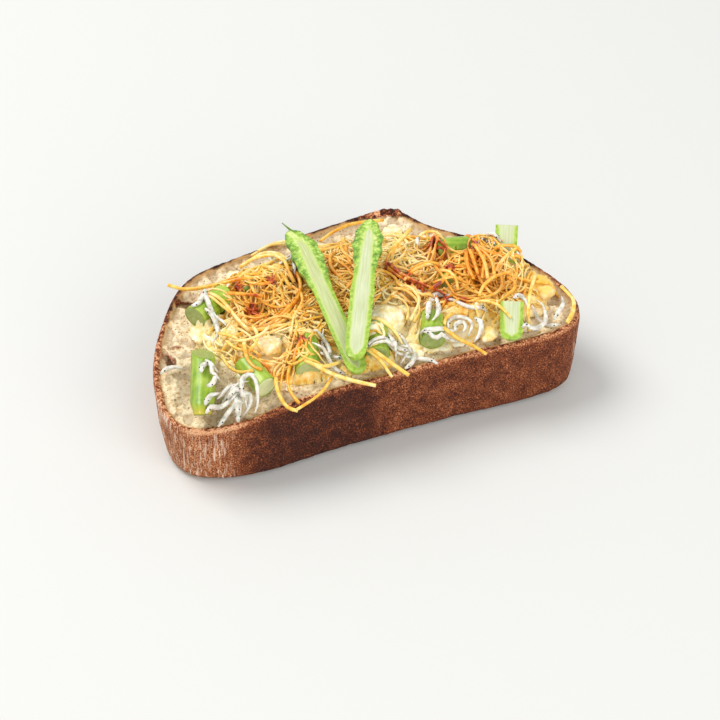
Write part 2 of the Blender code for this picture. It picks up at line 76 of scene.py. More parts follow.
def srgb(hex_colour):
    """The linear colour, with alpha, of an sRGB hex value such as c98a4b."""
    parts = [int(hex_colour[i : i + 2], 16) / 255 for i in (0, 2, 4)]
    linear = [p / 12.92 if p <= 0.04045 else ((p + 0.055) / 1.055) ** 2.4 for p in parts]
    return (*linear, 1.0)


def add_node(tree, kind, inputs=None, stops=None, **settings):
    """A shader node. Each input takes a value, or a socket to link; stops are a ramp's colours."""
    node = tree.nodes.new("ShaderNode" + kind)
    for name, value in settings.items():
        setattr(node, name, value)
    for name, value in (inputs or {}).items():
        if isinstance(value, bpy.types.NodeSocket):
            tree.links.new(value, node.inputs[name])
        else:
            node.inputs[name].default_value = value
    for i, (place, colour) in enumerate(stops or ()):
        ramp = node.color_ramp.elements
        stop = ramp[i] if i < len(ramp) else ramp.new(place)
        stop.position, stop.color = place, srgb(colour)
    return node


def start_material(name):
    """A new material's node tree and its shader, with nothing linked yet."""
    material = bpy.data.materials.new(name)
    material.use_nodes = True
    return material, material.node_tree, material.node_tree.nodes["Principled BSDF"]


def settle_piece(name, mesh, materials, slot, *nodes):
    """The mesh as a piece of the tartine that stands for the solids named."""
    for material in materials:
        mesh.materials.append(material)
    mesh.shade_smooth()
    piece = bpy.data.objects.new(name, mesh)
    bpy.context.scene.collection.objects.link(piece)
    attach(piece, "root")
    if nodes:
        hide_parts(*nodes)
    return piece


def remeshed(bm, voxel, smoothing):
    """The closed shapes in the bmesh made one even skin of small quads."""
    mesh = bpy.data.meshes.new("skin")
    bm.to_mesh(mesh)
    bm.free()
    holder = bpy.data.objects.new("skin", mesh)
    bpy.context.scene.collection.objects.link(holder)
    remesh = holder.modifiers.new("remesh", "REMESH")
    remesh.mode = "VOXEL"
    remesh.voxel_size = voxel
    smooth = holder.modifiers.new("smooth", "SMOOTH")
    smooth.factor = 0.5
    smooth.iterations = smoothing
    graph = bpy.context.evaluated_depsgraph_get()
    made = bpy.data.meshes.new_from_object(holder.evaluated_get(graph))
    bpy.data.objects.remove(holder, do_unlink=True)
    return made


def points_of(mesh):
    points = np.empty(len(mesh.vertices) * 3)
    mesh.vertices.foreach_get("co", points)
    return points.reshape(-1, 3)


def normals_of(mesh):
    normals = np.empty(len(mesh.vertices) * 3)
    mesh.vertex_normals.foreach_get("vector", normals)
    return normals.reshape(-1, 3)


def move_points(mesh, points):
    mesh.vertices.foreach_set("co", points.astype(np.float32).ravel())
    mesh.update()


def store(mesh, name, values):
    """Keeps a number for each point, which the material reads by this name."""
    attribute = mesh.attributes.new(name, "FLOAT", "POINT")
    attribute.data.foreach_set("value", np.asarray(values, np.float32))


def smooth_step(values):
    values = np.clip(values, 0.0, 1.0)
    return values * values * (3 - 2 * values)


def ripples(points, size, seed=0.0, octaves=0):
    """Soft noise from -1 to 1 at each point, with features of about this size."""
    shift = Vector((seed, 7.3 * seed, 3.1 * seed))
    places = [Vector(p) / size + shift for p in points]
    if octaves:
        return np.array([noise.fractal(p, 0.9, 2.1, octaves) for p in places])
    return np.array([noise.noise(p) for p in places])


def pits(points, size, share, seed):
    """How deep in a round pit each point is, from 0 to 1; share of the cells have a pit."""
    deep = np.zeros(len(points))
    shift = Vector((seed, 2.7 * seed, 5.9 * seed))
    for i, point in enumerate(points):
        distances, centres = noise.voronoi(Vector(point) / size + shift)
        luck = noise.cell(centres[0] * 9.7)
        if luck < share:
            deep[i] = 1 - distances[0] / (0.25 + 0.3 * luck / share)
    return smooth_step(deep)


def closed_spline(corners_mm, steps):
    """The smooth closed line through the corners, as many steps from each to the next."""
    corners = [Vector((x, y, 0)) * MM for x, y in corners_mm]
    line = []
    for i, start in enumerate(corners):
        before, end = corners[i - 1], corners[(i + 1) % len(corners)]
        after = corners[(i + 2) % len(corners)]
        handles = start + (end - before) / 6, end - (after - start) / 6
        line += geometry.interpolate_bezier(start, *handles, end, steps + 1)[:-1]
    return np.array(line)[:, :2]


def distance_to(line, points):
    """How far each point is, seen from above, from the closed line."""
    nearest = np.full(len(points), np.inf)
    for a, b in zip(line, np.roll(line, -1, axis=0)):
        along = (points - a) @ (b - a) / ((b - a) @ (b - a))
        reach = points - a - np.clip(along, 0, 1)[:, None] * (b - a)
        nearest = np.minimum(nearest, np.hypot(reach[:, 0], reach[:, 1]))
    return nearest


def caught(places, spots_mm):
    """How much of the heat each place got near the spots, from 0 to a little over 1."""
    amount = np.zeros(len(places))
    for bx, by, wide, strength in spots_mm:
        near = np.hypot(places[:, 0] - bx * MM, places[:, 1] - by * MM) / (wide * MM)
        amount = np.maximum(amount, strength * np.exp(-near * near))
    return amount


def bread_top(x, y):
    """How high the cut face of the slice is, which sags at its near left corner."""
    reach = np.hypot(x - SAG_CORNER_MM[0] * MM, y - SAG_CORNER_MM[1] * MM)
    return BREAD_TOP - CORNER_SAG * smooth_step(1 - reach / SAG_REACH)


crust_line = closed_spline(CRUST_LINE_MM, 12)
slice_bm = bmesh.new()
slice_bm.from_mesh(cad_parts["bread_slice"].data)
bmesh.ops.remove_doubles(slice_bm, verts=slice_bm.verts, dist=0.02 * MM)
slice_mesh = remeshed(slice_bm, SLICE_VOXEL, 3)
spots, facing = points_of(slice_mesh), normals_of(slice_mesh)
from_edge = distance_to(crust_line, spots[:, :2])
is_side = smooth_step((0.75 - np.abs(facing[:, 2])) / 0.2)
is_top = (facing[:, 2] > 0.6) & (spots[:, 2] > 15 * MM)
wander = ripples(spots, 5 * MM, 1, 3)
ear = np.exp(
    -(((spots[:, 0] - EAR_MM[0] * MM) / (EAR_REACH_MM[0] * MM)) ** 2
      + ((spots[:, 1] - EAR_MM[1] * MM) / (EAR_REACH_MM[1] * MM)) ** 2)
)
charred = caught(spots, CHARRED_MM)
left_rim = smooth_step((-60 * MM - spots[:, 0]) / (12 * MM))
ear *= smooth_step((spots[:, 2] - EAR_FOOT) / (7 * MM))
crust_reach = CRUST_WIDTH * (1 + 0.4 * wander + 1.5 * ear + 0.5 * charred + 0.35 * left_rim)
crust = np.maximum(is_side, smooth_step((crust_reach - from_edge) / (0.8 * MM)))
inside = 1 - crust
holes = pits(spots, 4.2 * MM, 0.18, 2)
pores = pits(spots, 2.2 * MM, 0.5, 5) * 0.55
sunk = np.maximum(holes, pores) * inside * smooth_step((from_edge - 2.6 * MM) / MM)
across = ((spots[:, 0] - HOLE_MM[0] * MM) / (HOLE_MM[2] * MM)) ** 2
across += ((spots[:, 1] - HOLE_MM[1] * MM) / (HOLE_MM[3] * MM)) ** 2
sunk = np.maximum(sunk, HOLE_DEPTH * is_top * np.exp(-(across**3)))
grain = ripples(spots, 1.6 * MM, 4)
lift = -PIT_DEPTH * sunk + 0.12 * MM * grain * crust + 0.12 * MM * wander * crust
lift += 0.5 * MM * ripples(spots, 22 * MM, 15) * crust
lift += 0.35 * MM * ripples(spots, 6 * MM, 9) * inside
lift += ear * MM * (1.1 + 2.2 * ripples(spots, 3 * MM, 6, 2))
front = smooth_step((-spots[:, 1] - 36 * MM) / (6 * MM)) * is_side
crease = np.exp(-(((spots[:, 0] - CREASE_X - 0.6 * MM * wander) / (0.8 * MM)) ** 2)) * front
lift -= 0.1 * MM * crease
flat_foot = smooth_step(spots[:, 2] / (1.2 * MM))
rounding = FOOT_ROUND * np.clip(1 - spots[:, 2] / (2.6 * MM), 0, 1) ** 2
rounding = rounding * smooth_step(1 - from_edge / (6 * MM))
inward = -spots * (1, 1, 0) / np.linalg.norm(spots[:, :2], axis=1)[:, None]
move_points(slice_mesh, spots + facing * (lift * flat_foot)[:, None] + inward * rounding[:, None])
store(slice_mesh, "crust", crust)
store(slice_mesh, "sunk", sunk)
store(slice_mesh, "toasted", np.exp(-np.maximum(from_edge - CRUST_WIDTH, 0) / (TOASTED_WIDTH / 3)))
# The crust is darkest in front, left of the crease, with a pale strip where the dough stretched
x, y, z = (spots / MM).T
under = (bread_top(spots[:, 0], spots[:, 1]) - spots[:, 2]) / MM
shade = 0.34 + 0.12 * wander
shade -= 0.23 * front * smooth_step((-4 - x) / 6) * smooth_step((x + 66) / 22)
shade += 0.03 * front * np.exp(-(((x - 0.6) / 2.4) ** 2))
shade += 0.34 * smooth_step((-50 - x) / 24) + 0.1 * smooth_step((x - 70) / 10)
shade += 0.42 * np.exp(-(((under - 0.5) / 1.0) ** 2)) * front - 0.12 * crease + ear * (0.2 + 1.6 * wander)
rear = smooth_step((y + 20) / 30) * (1 - 0.75 * left_rim) * (1 - 0.8 * ear)
shade -= is_top * rear * 0.3 * (1 + 2 * wander) + charred * 0.35
# The lowest 3 mm of the slice is darkened: painted shade where it meets the table. The top of the left rim is
# a touch darker.
shade -= 0.25 * smooth_step(1 - z / 3) + 0.07 * left_rim * is_top
shade += is_top * smooth_step((-y - 10) / 30) * smooth_step((x + 75) / 20) * 0.1
store(slice_mesh, "shade", shade)
store(slice_mesh, "rim", crust * (1 - is_side) * is_top)
flour = smooth_step((-60 - x) / 8) * (y < 0) * (0.75 + 0.5 * wander)
flour = np.maximum(flour, np.exp(-(((x - 76.5) / 0.8) ** 2)) * front)
store(slice_mesh, "flour", flour * is_side)

# Crust of a rye and wheat loaf: dry and matt, with a fine grain of bran that catches the light
bread, tree, surface = start_material("country_bread")
place = add_node(tree, "TexCoord").outputs["Object"]
crust_here = add_node(tree, "Attribute", attribute_name="crust").outputs["Fac"]
bran = add_node(
    tree, "TexNoise", {"Vector": place, "Scale": 1 / (0.5 * MM), "Detail": 2.0, "Roughness": 0.8}
)
cloud = add_node(tree, "TexNoise", {"Vector": place, "Scale": 1 / (5 * MM), "Detail": 4.0})
shade_here = add_node(tree, "Attribute", attribute_name="shade").outputs["Fac"]
speckled = add_node(
    tree, "Math", {0: bran.outputs["Fac"], 1: 2.3, 2: shade_here}, operation="MULTIPLY_ADD"
)
mottled = add_node(
    tree, "Math", {0: cloud.outputs["Fac"], 1: 0.3, 2: speckled.outputs[0]}, operation="MULTIPLY_ADD"
)
# On the rim the knife tore the crust, so the grain there is coarser
torn = add_node(tree, "TexNoise", {"Vector": place, "Scale": 1 / (1.3 * MM), "Detail": 2.0})
rim_here = add_node(tree, "Attribute", attribute_name="rim").outputs["Fac"]
uneven = add_node(tree, "Math", {0: torn.outputs["Fac"], 1: 0.47}, operation="SUBTRACT")
coarse = add_node(tree, "Math", {0: uneven.outputs[0], 1: rim_here}, operation="MULTIPLY")
mottled = add_node(
    tree, "Math", {0: coarse.outputs[0], 1: 2.6, 2: mottled.outputs[0]}, operation="MULTIPLY_ADD"
)
baked = add_node(
    tree, "ValToRGB",
    {"Fac": add_node(tree, "Math", {0: mottled.outputs[0], 1: 1.3}, operation="SUBTRACT").outputs[0]},
    stops=((0.0, "2c110a"), (0.22, "4e210f"), (0.42, "74391e"), (0.68, "a35c34"), (1.0, "e2aa7c")),
)
# The flour of the proving basket stayed in fine upright scratches, about 0.7 mm wide
flour_here = add_node(tree, "Attribute", attribute_name="flour").outputs["Fac"]
upright = add_node(
    tree, "Mapping", {"Vector": place, "Scale": (1 / (0.8 * MM), 1 / (0.8 * MM), 1 / (7 * MM))}
)
scratch = add_node(tree, "TexNoise", {"Vector": upright.outputs[0], "Scale": 1.0, "Detail": 2.0})
caught_flour = add_node(tree, "MapRange", {0: scratch.outputs["Fac"], 1: 0.54, 2: 0.66})
dusted = add_node(tree, "Math", {0: caught_flour.outputs[0], 1: flour_here}, operation="MULTIPLY")
floured = add_node(
    tree, "Mix", {0: dusted.outputs[0], 6: baked.outputs[0], 7: srgb("e2c7ae")}, data_type="RGBA"
)
# Crumb: moist and even and paler in its webs; its pores, pinholes and small and large holes are darkened with
# painted shade
web = add_node(tree, "TexNoise", {"Vector": place, "Scale": 1 / (0.9 * MM), "Detail": 4.0, "Roughness": 0.85})
pore = add_node(tree, "TexVoronoi", {"Vector": place, "Scale": 1 / (1.6 * MM), "Randomness": 1.0})
webbed = add_node(
    tree, "Math", {0: pore.outputs["Distance"], 1: 0.3, 2: web.outputs["Fac"]},
    operation="MULTIPLY_ADD",
)
crumb = add_node(
    tree, "ValToRGB", {"Fac": webbed.outputs[0]},
    stops=((0.34, "7d5328"), (0.45, "bd9560"), (0.55, "d8b886"), (0.7, "f1e0bc")),
)
# Pinholes: small dark dots with no hole in the mesh under them, painted shade of tiny holes
pinholes = add_node(tree, "TexVoronoi", {"Vector": place, "Scale": 1 / (1.5 * MM)})
pricks = add_node(tree, "MapRange", {0: pinholes.outputs["Distance"], 1: 0.3, 2: 0.16, 3: 0.0, 4: 1.0})
some = add_node(tree, "Math", {0: pinholes.outputs["Color"], 1: 0.42}, operation="LESS_THAN")
pinhole_shade_mask = add_node(tree, "Math", {0: pricks.outputs[0], 1: some.outputs[0]}, operation="MULTIPLY")
painted_pinhole_shade = add_node(
    tree, "Mix", {0: pinhole_shade_mask.outputs[0], 6: crumb.outputs[0], 7: srgb("9b7448")}, data_type="RGBA"
)
# The pits and holes of the mesh darken with their depth: painted shade in them
painted_hole_shade = add_node(
    tree, "Mix",
    {0: add_node(
        tree, "Math", {0: add_node(tree, "Attribute", attribute_name="sunk").outputs["Fac"], 1: 0.38},
        operation="MULTIPLY",
    ).outputs[0],
     6: painted_pinhole_shade.outputs[2], 7: srgb("653b1b")},
    data_type="RGBA",
)
toasted = add_node(
    tree, "Mix",
    {0: add_node(tree, "Attribute", attribute_name="toasted").outputs["Fac"],
     6: painted_hole_shade.outputs[2], 7: srgb("c2955c")},
    data_type="RGBA",
)
dough = add_node(
    tree, "Mix", {0: crust_here, 6: toasted.outputs[2], 7: floured.outputs[2]}, data_type="RGBA"
)
grit = add_node(
    tree, "Bump", {"Strength": 0.6, "Distance": 0.3 * MM, "Height": bran.outputs["Fac"]}
)
tree.links.new(dough.outputs[2], surface.inputs["Base Color"])
tree.links.new(grit.outputs[0], surface.inputs["Normal"])
surface.inputs["Roughness"].default_value = 0.8
surface.inputs["Specular IOR Level"].default_value = 0.25
settle_piece("bread_slice_baked", slice_mesh, [bread], "bread", "bread_slice")

# The relief that each topping settles on
# A tartine is laid up layer by layer, so each piece here lies on the highest thing below it. The
# relief holds that height for each small square of the slice, and the roof what hangs over it.
CELL = 0.6 * MM
ON_THE_SLICE = 24 * MM
CORNER = np.array([-100, -66]) * MM
GRID = (334, 220)
relief = np.zeros(GRID)
roof = np.full(relief.shape, np.inf)


def squares(places):
    """The row and column of each place in the relief."""
    index = np.floor((np.asarray(places)[:, :2] - CORNER) / CELL).astype(int)
    return np.clip(index[:, 0], 0, relief.shape[0] - 1), np.clip(index[:, 1], 0, relief.shape[1] - 1)


def raise_relief(points):
    """Lifts the relief to these points, and closes the gaps of a square that they leave."""
    layer = np.zeros(relief.shape)
    np.maximum.at(layer, squares(points), points[:, 2])
    around = np.max([np.roll(layer, shift, axis) for axis in (0, 1) for shift in (-1, 1)], axis=0)
    layer = np.where(layer > 0, layer, around)
    np.maximum(relief, layer, out=relief)


def settled(path, radius, bends=12, floor=0.0):
    """The path laid on the relief: it rests on the high places and bridges the low ones."""
    ground = np.zeros(len(path))
    for dx, dy in ((0, 0), (0.6, 0), (-0.6, 0), (0, 0.6), (0, -0.6)):
        ground = np.maximum(ground, relief[squares(path + np.array([dx, dy]) * radius)])
    ground = np.maximum(ground + radius, floor)
    height = ground.copy()
    for _ in range(bends):
        ends = 2 * height[0] - height[1], 2 * height[-1] - height[-2]
        padded = np.concatenate([[min(ends[0], height[0])], height, [min(ends[1], height[-1])]])
        height = np.maximum(ground, padded[:-2] / 4 + padded[1:-1] / 2 + padded[2:] / 4)
    return np.column_stack([path, height])


def press_in(points, radius):
    """Records a laid length in the relief."""
    reach = int(math.ceil(radius / CELL))
    rows, columns = squares(points)
    for i in range(-reach, reach + 1):
        for j in range(-reach, reach + 1):
            beside = math.hypot(i, j) * CELL
            if beside <= radius:
                top = points[:, 2] + math.sqrt(radius**2 - beside**2)
                index = np.clip(rows + i, 0, GRID[0] - 1), np.clip(columns + j, 0, GRID[1] - 1)
                np.maximum.at(relief, index, top)


raise_relief(points_of(slice_mesh))
bare = relief.copy()

# The melted cheese
# A soft white cheese that melts in cream-coloured pools and lumps, glossy where it was hottest.
# Under the strands it ran into them, and the grill turned it golden there.
CHEESE_MARGIN = 8 * MM
MAT_LINE_MM = (
    (-50, -23), (-38, -36), (-10, -40), (20, -39), (46, -37), (66, -32), (74.5, -22), (68, 2),
    (50, 20), (33, 33), (8, 35), (-24, 31), (-50, 19), (-60, -2),
)
# The lumps: middle x and y, half length, half width and height over the bread, then the turn
LUMPS_MM = (
    (8.4, -19.6, 9.2, 8.0, 8.2, 20),
    (0.6, -27.8, 6.2, 4.6, 11.2, 30),
    (-36.6, -14.9, 6.2, 5.4, 5.4, 0),
    (70.8, -21.0, 9.6, 4.6, 6.0, -66),
    (64.0, -13.0, 5.0, 4.2, 6.0, -40),
    (42.0, -39.0, 4.8, 4.2, 3.4, 10),
    (-57.0, 2.5, 6.0, 4.6, 2.8, 60),
    (-50.0, -4.0, 7.0, 5.0, 3.0, -30),
    (43.5, -27.0, 2.6, 2.2, 8.0, 0),
)
# Where the cheese went yellow under the grill: x, y, radius and how much
YELLOWED_MM = (
    (24, 33, 10, 0.4),
    (70.5, -21, 11, 1.0), (63, -12, 7, 1.0), (-57, 7, 5, 0.4), (-30, -30, 9, 0.4), (42, -38, 6, 0.6),
    (-64, -41, 4, 0.5),
)
mat_line = closed_spline(MAT_LINE_MM, 10)
luck = random.Random(3)


def in_mat(places):
    """Whether each place is inside the outline of the strands."""
    crossings = np.zeros(len(places), int)
    for a, b in zip(mat_line, np.roll(mat_line, -1, axis=0)):
        spans = (a[1] > places[:, 1]) != (b[1] > places[:, 1])
        slope = (b[0] - a[0]) / (b[1] - a[1] if b[1] != a[1] else 1e-12)
        crossings += spans & (places[:, 0] < a[0] + (places[:, 1] - a[1]) * slope)
    return crossings % 2 == 1


def scattered(spacing):
    """Places all over the slice, inside its crust and about this far apart."""
    steps = np.arange(-90, 90, spacing)
    places = [(a, b) for a in steps for b in steps if abs(b) < 50]
    places = [
        (a + luck.uniform(-0.3, 0.3) * spacing, b + luck.uniform(-0.3, 0.3) * spacing)
        for a, b in places
    ]
    places = np.array(places) * MM
    return places[(bare[squares(places)] > 15 * MM) & (distance_to(crust_line, places) > CHEESE_MARGIN)]


def add_lump(bm, place, height, sizes):
    """A soft lump on the slice: its centre at this height, turned and squashed by chance."""
    turned = Matrix.Translation((place[0], place[1], height)) @ Matrix.Rotation(luck.uniform(0, 3), 4, "Z")
    turned = turned @ Matrix.Diagonal((*sizes, 1))
    bmesh.ops.create_icosphere(bm, subdivisions=2, radius=1.0, matrix=turned)


cheese_bm = bmesh.new()
puddles = scattered(3.6)
for place, ground, within in zip(puddles, bare[squares(puddles)], in_mat(puddles)):
    cloud = noise.noise(Vector((*place, 0)) / (13 * MM) + Vector((4, 4, 3)))
    if within or cloud > 0.24:
        size, rise = luck.uniform(2.4, 3.9) * MM, luck.uniform(0.5, 1.0 + max(cloud, 0)) * MM
        add_lump(cheese_bm, place, ground, (size, size * luck.uniform(0.7, 1), rise))
for lx, ly, long, wide, high, turn in LUMPS_MM:
    base = bread_top(lx * MM, ly * MM)
    turned = Matrix.Rotation(math.radians(turn), 4, "Z")
    middle = Matrix.Translation((lx * MM, ly * MM, base + high * MM * 0.42)) @ turned
    body = Matrix.Diagonal((long * 0.9 * MM, wide * 0.9 * MM, high * 0.55 * MM, 1))
    bmesh.ops.create_icosphere(cheese_bm, subdivisions=3, radius=1.0, matrix=middle @ body)
    for _ in range(6):
        lean = Vector((luck.uniform(-0.6, 0.6) * long, luck.uniform(-0.6, 0.6) * wide, 0)) * MM
        lean.rotate(turned)
        rise = high * MM * luck.uniform(0.5, 1.0) * (1 - 0.4 * lean.length / (long * MM))
        sizes = long * luck.uniform(0.3, 0.45) * MM, wide * luck.uniform(0.3, 0.5) * MM, rise * 0.5
        add_lump(cheese_bm, (lx * MM + lean.x, ly * MM + lean.y), base + rise * 0.5, sizes)
cheese_mesh = remeshed(cheese_bm, 0.7 * MM, 7)
spots, facing = points_of(cheese_mesh), normals_of(cheese_mesh)
fluffy = smooth_step((-25 * MM - spots[:, 0]) / (10 * MM))
risen = smooth_step((spots[:, 2] - bare[squares(spots)] - 2 * MM) / (2 * MM))
rough = np.maximum(fluffy, 0.8 * risen)
dimples = 0.3 * MM * ripples(spots, 3.0 * MM, 12, 3) + 0.9 * MM * rough * ripples(spots, 1.9 * MM, 14, 2)
move_points(cheese_mesh, spots + facing * dimples[:, None])
spots = points_of(cheese_mesh)
store(cheese_mesh, "depth", np.clip((spots[:, 2] - bare[squares(spots)]) / MM, 0, 3))
store(cheese_mesh, "yellowed", caught(spots, YELLOWED_MM))
# Melted soft cheese: smooth and a little greasy, cream where it is deep and soaked in where thin
cheese, tree, surface = start_material("melted_soft_cheese")
place = add_node(tree, "TexCoord").outputs["Object"]
curd = add_node(tree, "TexNoise", {"Vector": place, "Scale": 1 / (3 * MM), "Detail": 5.0, "Roughness": 0.6})
creamy = add_node(
    tree, "ValToRGB", {"Fac": curd.outputs["Fac"]},
    stops=((0.3, "efc66c"), (0.44, "f5e0a2"), (0.6, "fcf4d8")),
)
deep = add_node(tree, "Attribute", attribute_name="depth").outputs["Fac"]
soaking = add_node(
    tree, "Math", {0: curd.outputs["Fac"], 1: 1.2, 2: deep}, operation="MULTIPLY_ADD", use_clamp=False
)
soaked = add_node(tree, "ValToRGB", {"Fac": soaking.outputs[0]}, stops=((0.6, "e4cb9c"), (0.9, "ffffff")))
yellow_here = add_node(tree, "Attribute", attribute_name="yellowed").outputs["Fac"]
gilded = add_node(
    tree, "Mix", {0: yellow_here, 6: creamy.outputs[0], 7: srgb("efc04a")}, data_type="RGBA"
)
poured = add_node(
    tree, "Mix", {0: 1.0, 6: gilded.outputs[2], 7: soaked.outputs[0]}, data_type="RGBA",
    blend_type="MULTIPLY",
)
skin = add_node(tree, "Bump", {"Strength": 0.3, "Distance": 0.5 * MM, "Height": curd.outputs["Fac"]})
tree.links.new(poured.outputs[2], surface.inputs["Base Color"])
tree.links.new(skin.outputs[0], surface.inputs["Normal"])
surface.inputs["Roughness"].default_value = 0.38
surface.inputs["Subsurface Weight"].default_value = 0.15
surface.inputs["Subsurface Scale"].default_value = 2 * MM
settle_piece("melted_cheese_pool", cheese_mesh, [cheese], "cheese", "melted_cheese")
raise_relief(points_of(cheese_mesh))

# The cut lengths of asparagus
# Green stems cut on the bias and softened in the oven. The skin is faintly ribbed and bright, and
# the cut ends are pale and wet, with a ring of darker green under the skin.
# Each: middle x, y and height over the bread, length, diameter, turn, tilt, then the slant of the
# near and of the far end
STALKS_MM = {
    "stalk_front_left": (-66.6, -26.6, 5.3, 29, 9.2, 69, 9, 0.75, 1.35),
    "stalk_back_left": (-49.0, 12.0, 4.9, 18, 9.4, 28, 0, 0.1, 0.1),
    "stalk_middle_left": (-26.2, -27.8, 5.0, 18, 9.0, 71, 2, 0.1, 0.1),
    "stalk_front_stub": (-47.6, -31.0, 4.8, 15, 8.8, 99, 0, 0.1, 0.1),
    "stalk_middle_right": (0.6, -30.8, 4.8, 15, 8.8, 68, 3, 0.1, 0.1),
    "stalk_front_right": (22.4, -32.0, 4.9, 13, 9.2, 66, 3, 0.1, 0.1),
    "stalk_back_right": (50.0, 8.0, 5.0, 15, 9.0, -20, 4, 0.1, 0.1),
    "stalk_hidden_left": (-28.0, 17.5, 4.9, 16, 8.8, -10, 0, 0.1, 0.1),
    "stalk_hidden_right": (44.0, -5.0, 3.9, 15, 8.6, 30, 0, 0.1, 0.1),
}
STALK_BIAS = 0.22
# How pale the cut ends of each are, from old to young
YOUNG = {"stalk_front_stub": 1.0, "stalk_front_left": 0.0, "stalk_middle_left": 0.5}
stalk_skin, tree, surface = start_material("green_asparagus_stem")
place = add_node(tree, "TexCoord").outputs["Object"]
flesh_here = add_node(tree, "Attribute", attribute_name="flesh").outputs["Fac"]
rib_here = add_node(tree, "Attribute", attribute_name="rib").outputs["Fac"]
fade = add_node(tree, "TexNoise", {"Vector": place, "Scale": 0.13 / MM, "Detail": 3.0})
mixed = add_node(tree, "Math", {0: rib_here, 1: 0.06, 2: fade.outputs["Fac"]}, operation="MULTIPLY_ADD")
greens = add_node(
    tree, "ValToRGB", {"Fac": mixed.outputs[0]},
    stops=((0.3, "6d8f1c"), (0.46, "8fae30"), (0.6, "a6bd46"), (0.8, "bfc86c")),
)
fibres = add_node(tree, "TexNoise", {"Vector": place, "Scale": 0.9 / MM, "Detail": 2.0})
pale = add_node(
    tree, "ValToRGB", {"Fac": fibres.outputs["Fac"]},
    stops=((0.35, "748f38"), (0.55, "8ba04a"), (0.75, "a6b16c")),
)
yellow_here = add_node(tree, "Attribute", attribute_name="yellowed").outputs["Fac"]
skins = add_node(tree, "Mix", {0: yellow_here, 6: greens.outputs[0], 7: srgb("b8ab2c")}, data_type="RGBA")
young_here = add_node(tree, "Attribute", attribute_name="young").outputs["Fac"]
cut_flesh = add_node(
    tree, "Mix", {0: young_here, 6: pale.outputs[0], 7: srgb("cdd4a0")}, data_type="RGBA"
)
stem = add_node(tree, "Mix", {0: flesh_here, 6: skins.outputs[2], 7: cut_flesh.outputs[2]}, data_type="RGBA")
wet = add_node(tree, "Bump", {"Strength": 0.2, "Distance": 0.2 * MM, "Height": fibres.outputs["Fac"]})
tree.links.new(stem.outputs[2], surface.inputs["Base Color"])
tree.links.new(wet.outputs[0], surface.inputs["Normal"])
surface.inputs["Roughness"].default_value = 0.3
surface.inputs["Subsurface Weight"].default_value = 0.1
surface.inputs["Subsurface Scale"].default_value = 1.5 * MM
for name, (sx, sy, high, length, diameter, turn, tilt, *slants) in STALKS_MM.items():
    radius, depth = diameter / 2 * MM, length * MM
    middle = Vector((sx * MM, sy * MM, bread_top(sx * MM, sy * MM) + high * MM))
    stem_bm = bmesh.new()
    bmesh.ops.create_cone(
        stem_bm, cap_ends=True, segments=48, radius1=radius, radius2=radius * 0.96, depth=depth,
        matrix=Matrix.Rotation(math.radians(90), 4, "Y"),
    )
    long_edges = [e for e in stem_bm.edges if e.verts[0].co.x * e.verts[1].co.x < 0]
    bmesh.ops.subdivide_edges(stem_bm, edges=long_edges, cuts=int(length * 1.2))
    caps = [f for f in stem_bm.faces if abs(f.normal.x) > 0.9]
    for share in (0.25, 0.3, 0.8, 1.0, 1.2):
        bmesh.ops.inset_individual(stem_bm, faces=caps, thickness=share * MM)
    flesh, ribs, yellowed = [], [], []
    drying = name == "stalk_front_left"
    for vert in stem_bm.verts:
        around = math.atan2(vert.co.y, vert.co.z)
        out = math.hypot(vert.co.y, vert.co.z) / radius
        at_end = abs(abs(vert.co.x) - depth / 2) < 0.02 * MM
        rib = math.sin(around * 13 + 1.5 * math.sin(vert.co.x * 160)) if out > 0.93 else 0.0
        flesh.append(1.0 if at_end and out < 0.9 else 0.0)
        ribs.append(rib)
        if out > 0.93:
            scale = 1 + 0.008 * rib + 0.012 * noise.noise(vert.co / (5 * MM) + Vector((sx, sy, 0)))
            vert.co.y *= scale
            vert.co.z *= scale
        if at_end:
            hollow = 0.5 * (1 - out) ** 2 - 0.25 * max(0.0, 1 - abs(out - 0.94) / 0.06)
            vert.co.x -= math.copysign(hollow * MM, vert.co.x)
        far = vert.co.x / depth + 0.5
        dried = drying * float(smooth_step((0.24 - far) / 0.24))
        yellowed.append(dried)
        vert.co.y *= 1 - 0.3 * dried
        vert.co.z *= 1 - 0.3 * dried
        vert.co.x += STALK_BIAS * vert.co.y * (1 if far > 0.5 else -0.4)
        vert.co.x -= (slants[0] + (slants[1] - slants[0]) * far) * vert.co.z
    turned = Matrix.Rotation(math.radians(turn), 4, "Z") @ Matrix.Rotation(-math.radians(tilt), 4, "Y")
    stem_bm.transform(Matrix.Translation(middle) @ turned)
    stem_mesh = bpy.data.meshes.new(name)
    stem_bm.to_mesh(stem_mesh)
    stem_bm.free()
    store(stem_mesh, "flesh", flesh)
    store(stem_mesh, "rib", ribs)
    store(stem_mesh, "yellowed", yellowed)
    store(stem_mesh, "young", [YOUNG.get(name, 0.2)] * len(flesh))
    settle_piece(name + "_cut", stem_mesh, [stalk_skin], "stalk", name)
    raise_relief(points_of(stem_mesh))

# The spears and stems split lengthwise
# Two young spears lie split side up in a V, and two short lengths are split the same way. The core
# is pale and wet, the skin bright green, and a spear's head is a bud of scales with dark tips.
# Each: the near end's and the far end's x, y and height of the split face, the width and a number
# that sets its scales
SPLIT_MM = {
    "spear_half_left": ((-12.6, -45.2, 36.4), (-8.3, 28.4, 47.0), 7.7, 1.0),
    "spear_half_right": ((-13.6, -43.4, 41.7), (19.2, 20.4, 49.4), 8.7, 2.0),
    "stalk_half_right": ((47.3, -47.8, 33.8), (52.5, -36.5, 41.9), 8.6, 3.0),
    "stalk_half_back": ((62.3, -9.2, 34.7), (68.8, 3.6, 43.8), 8.6, 4.0),
}
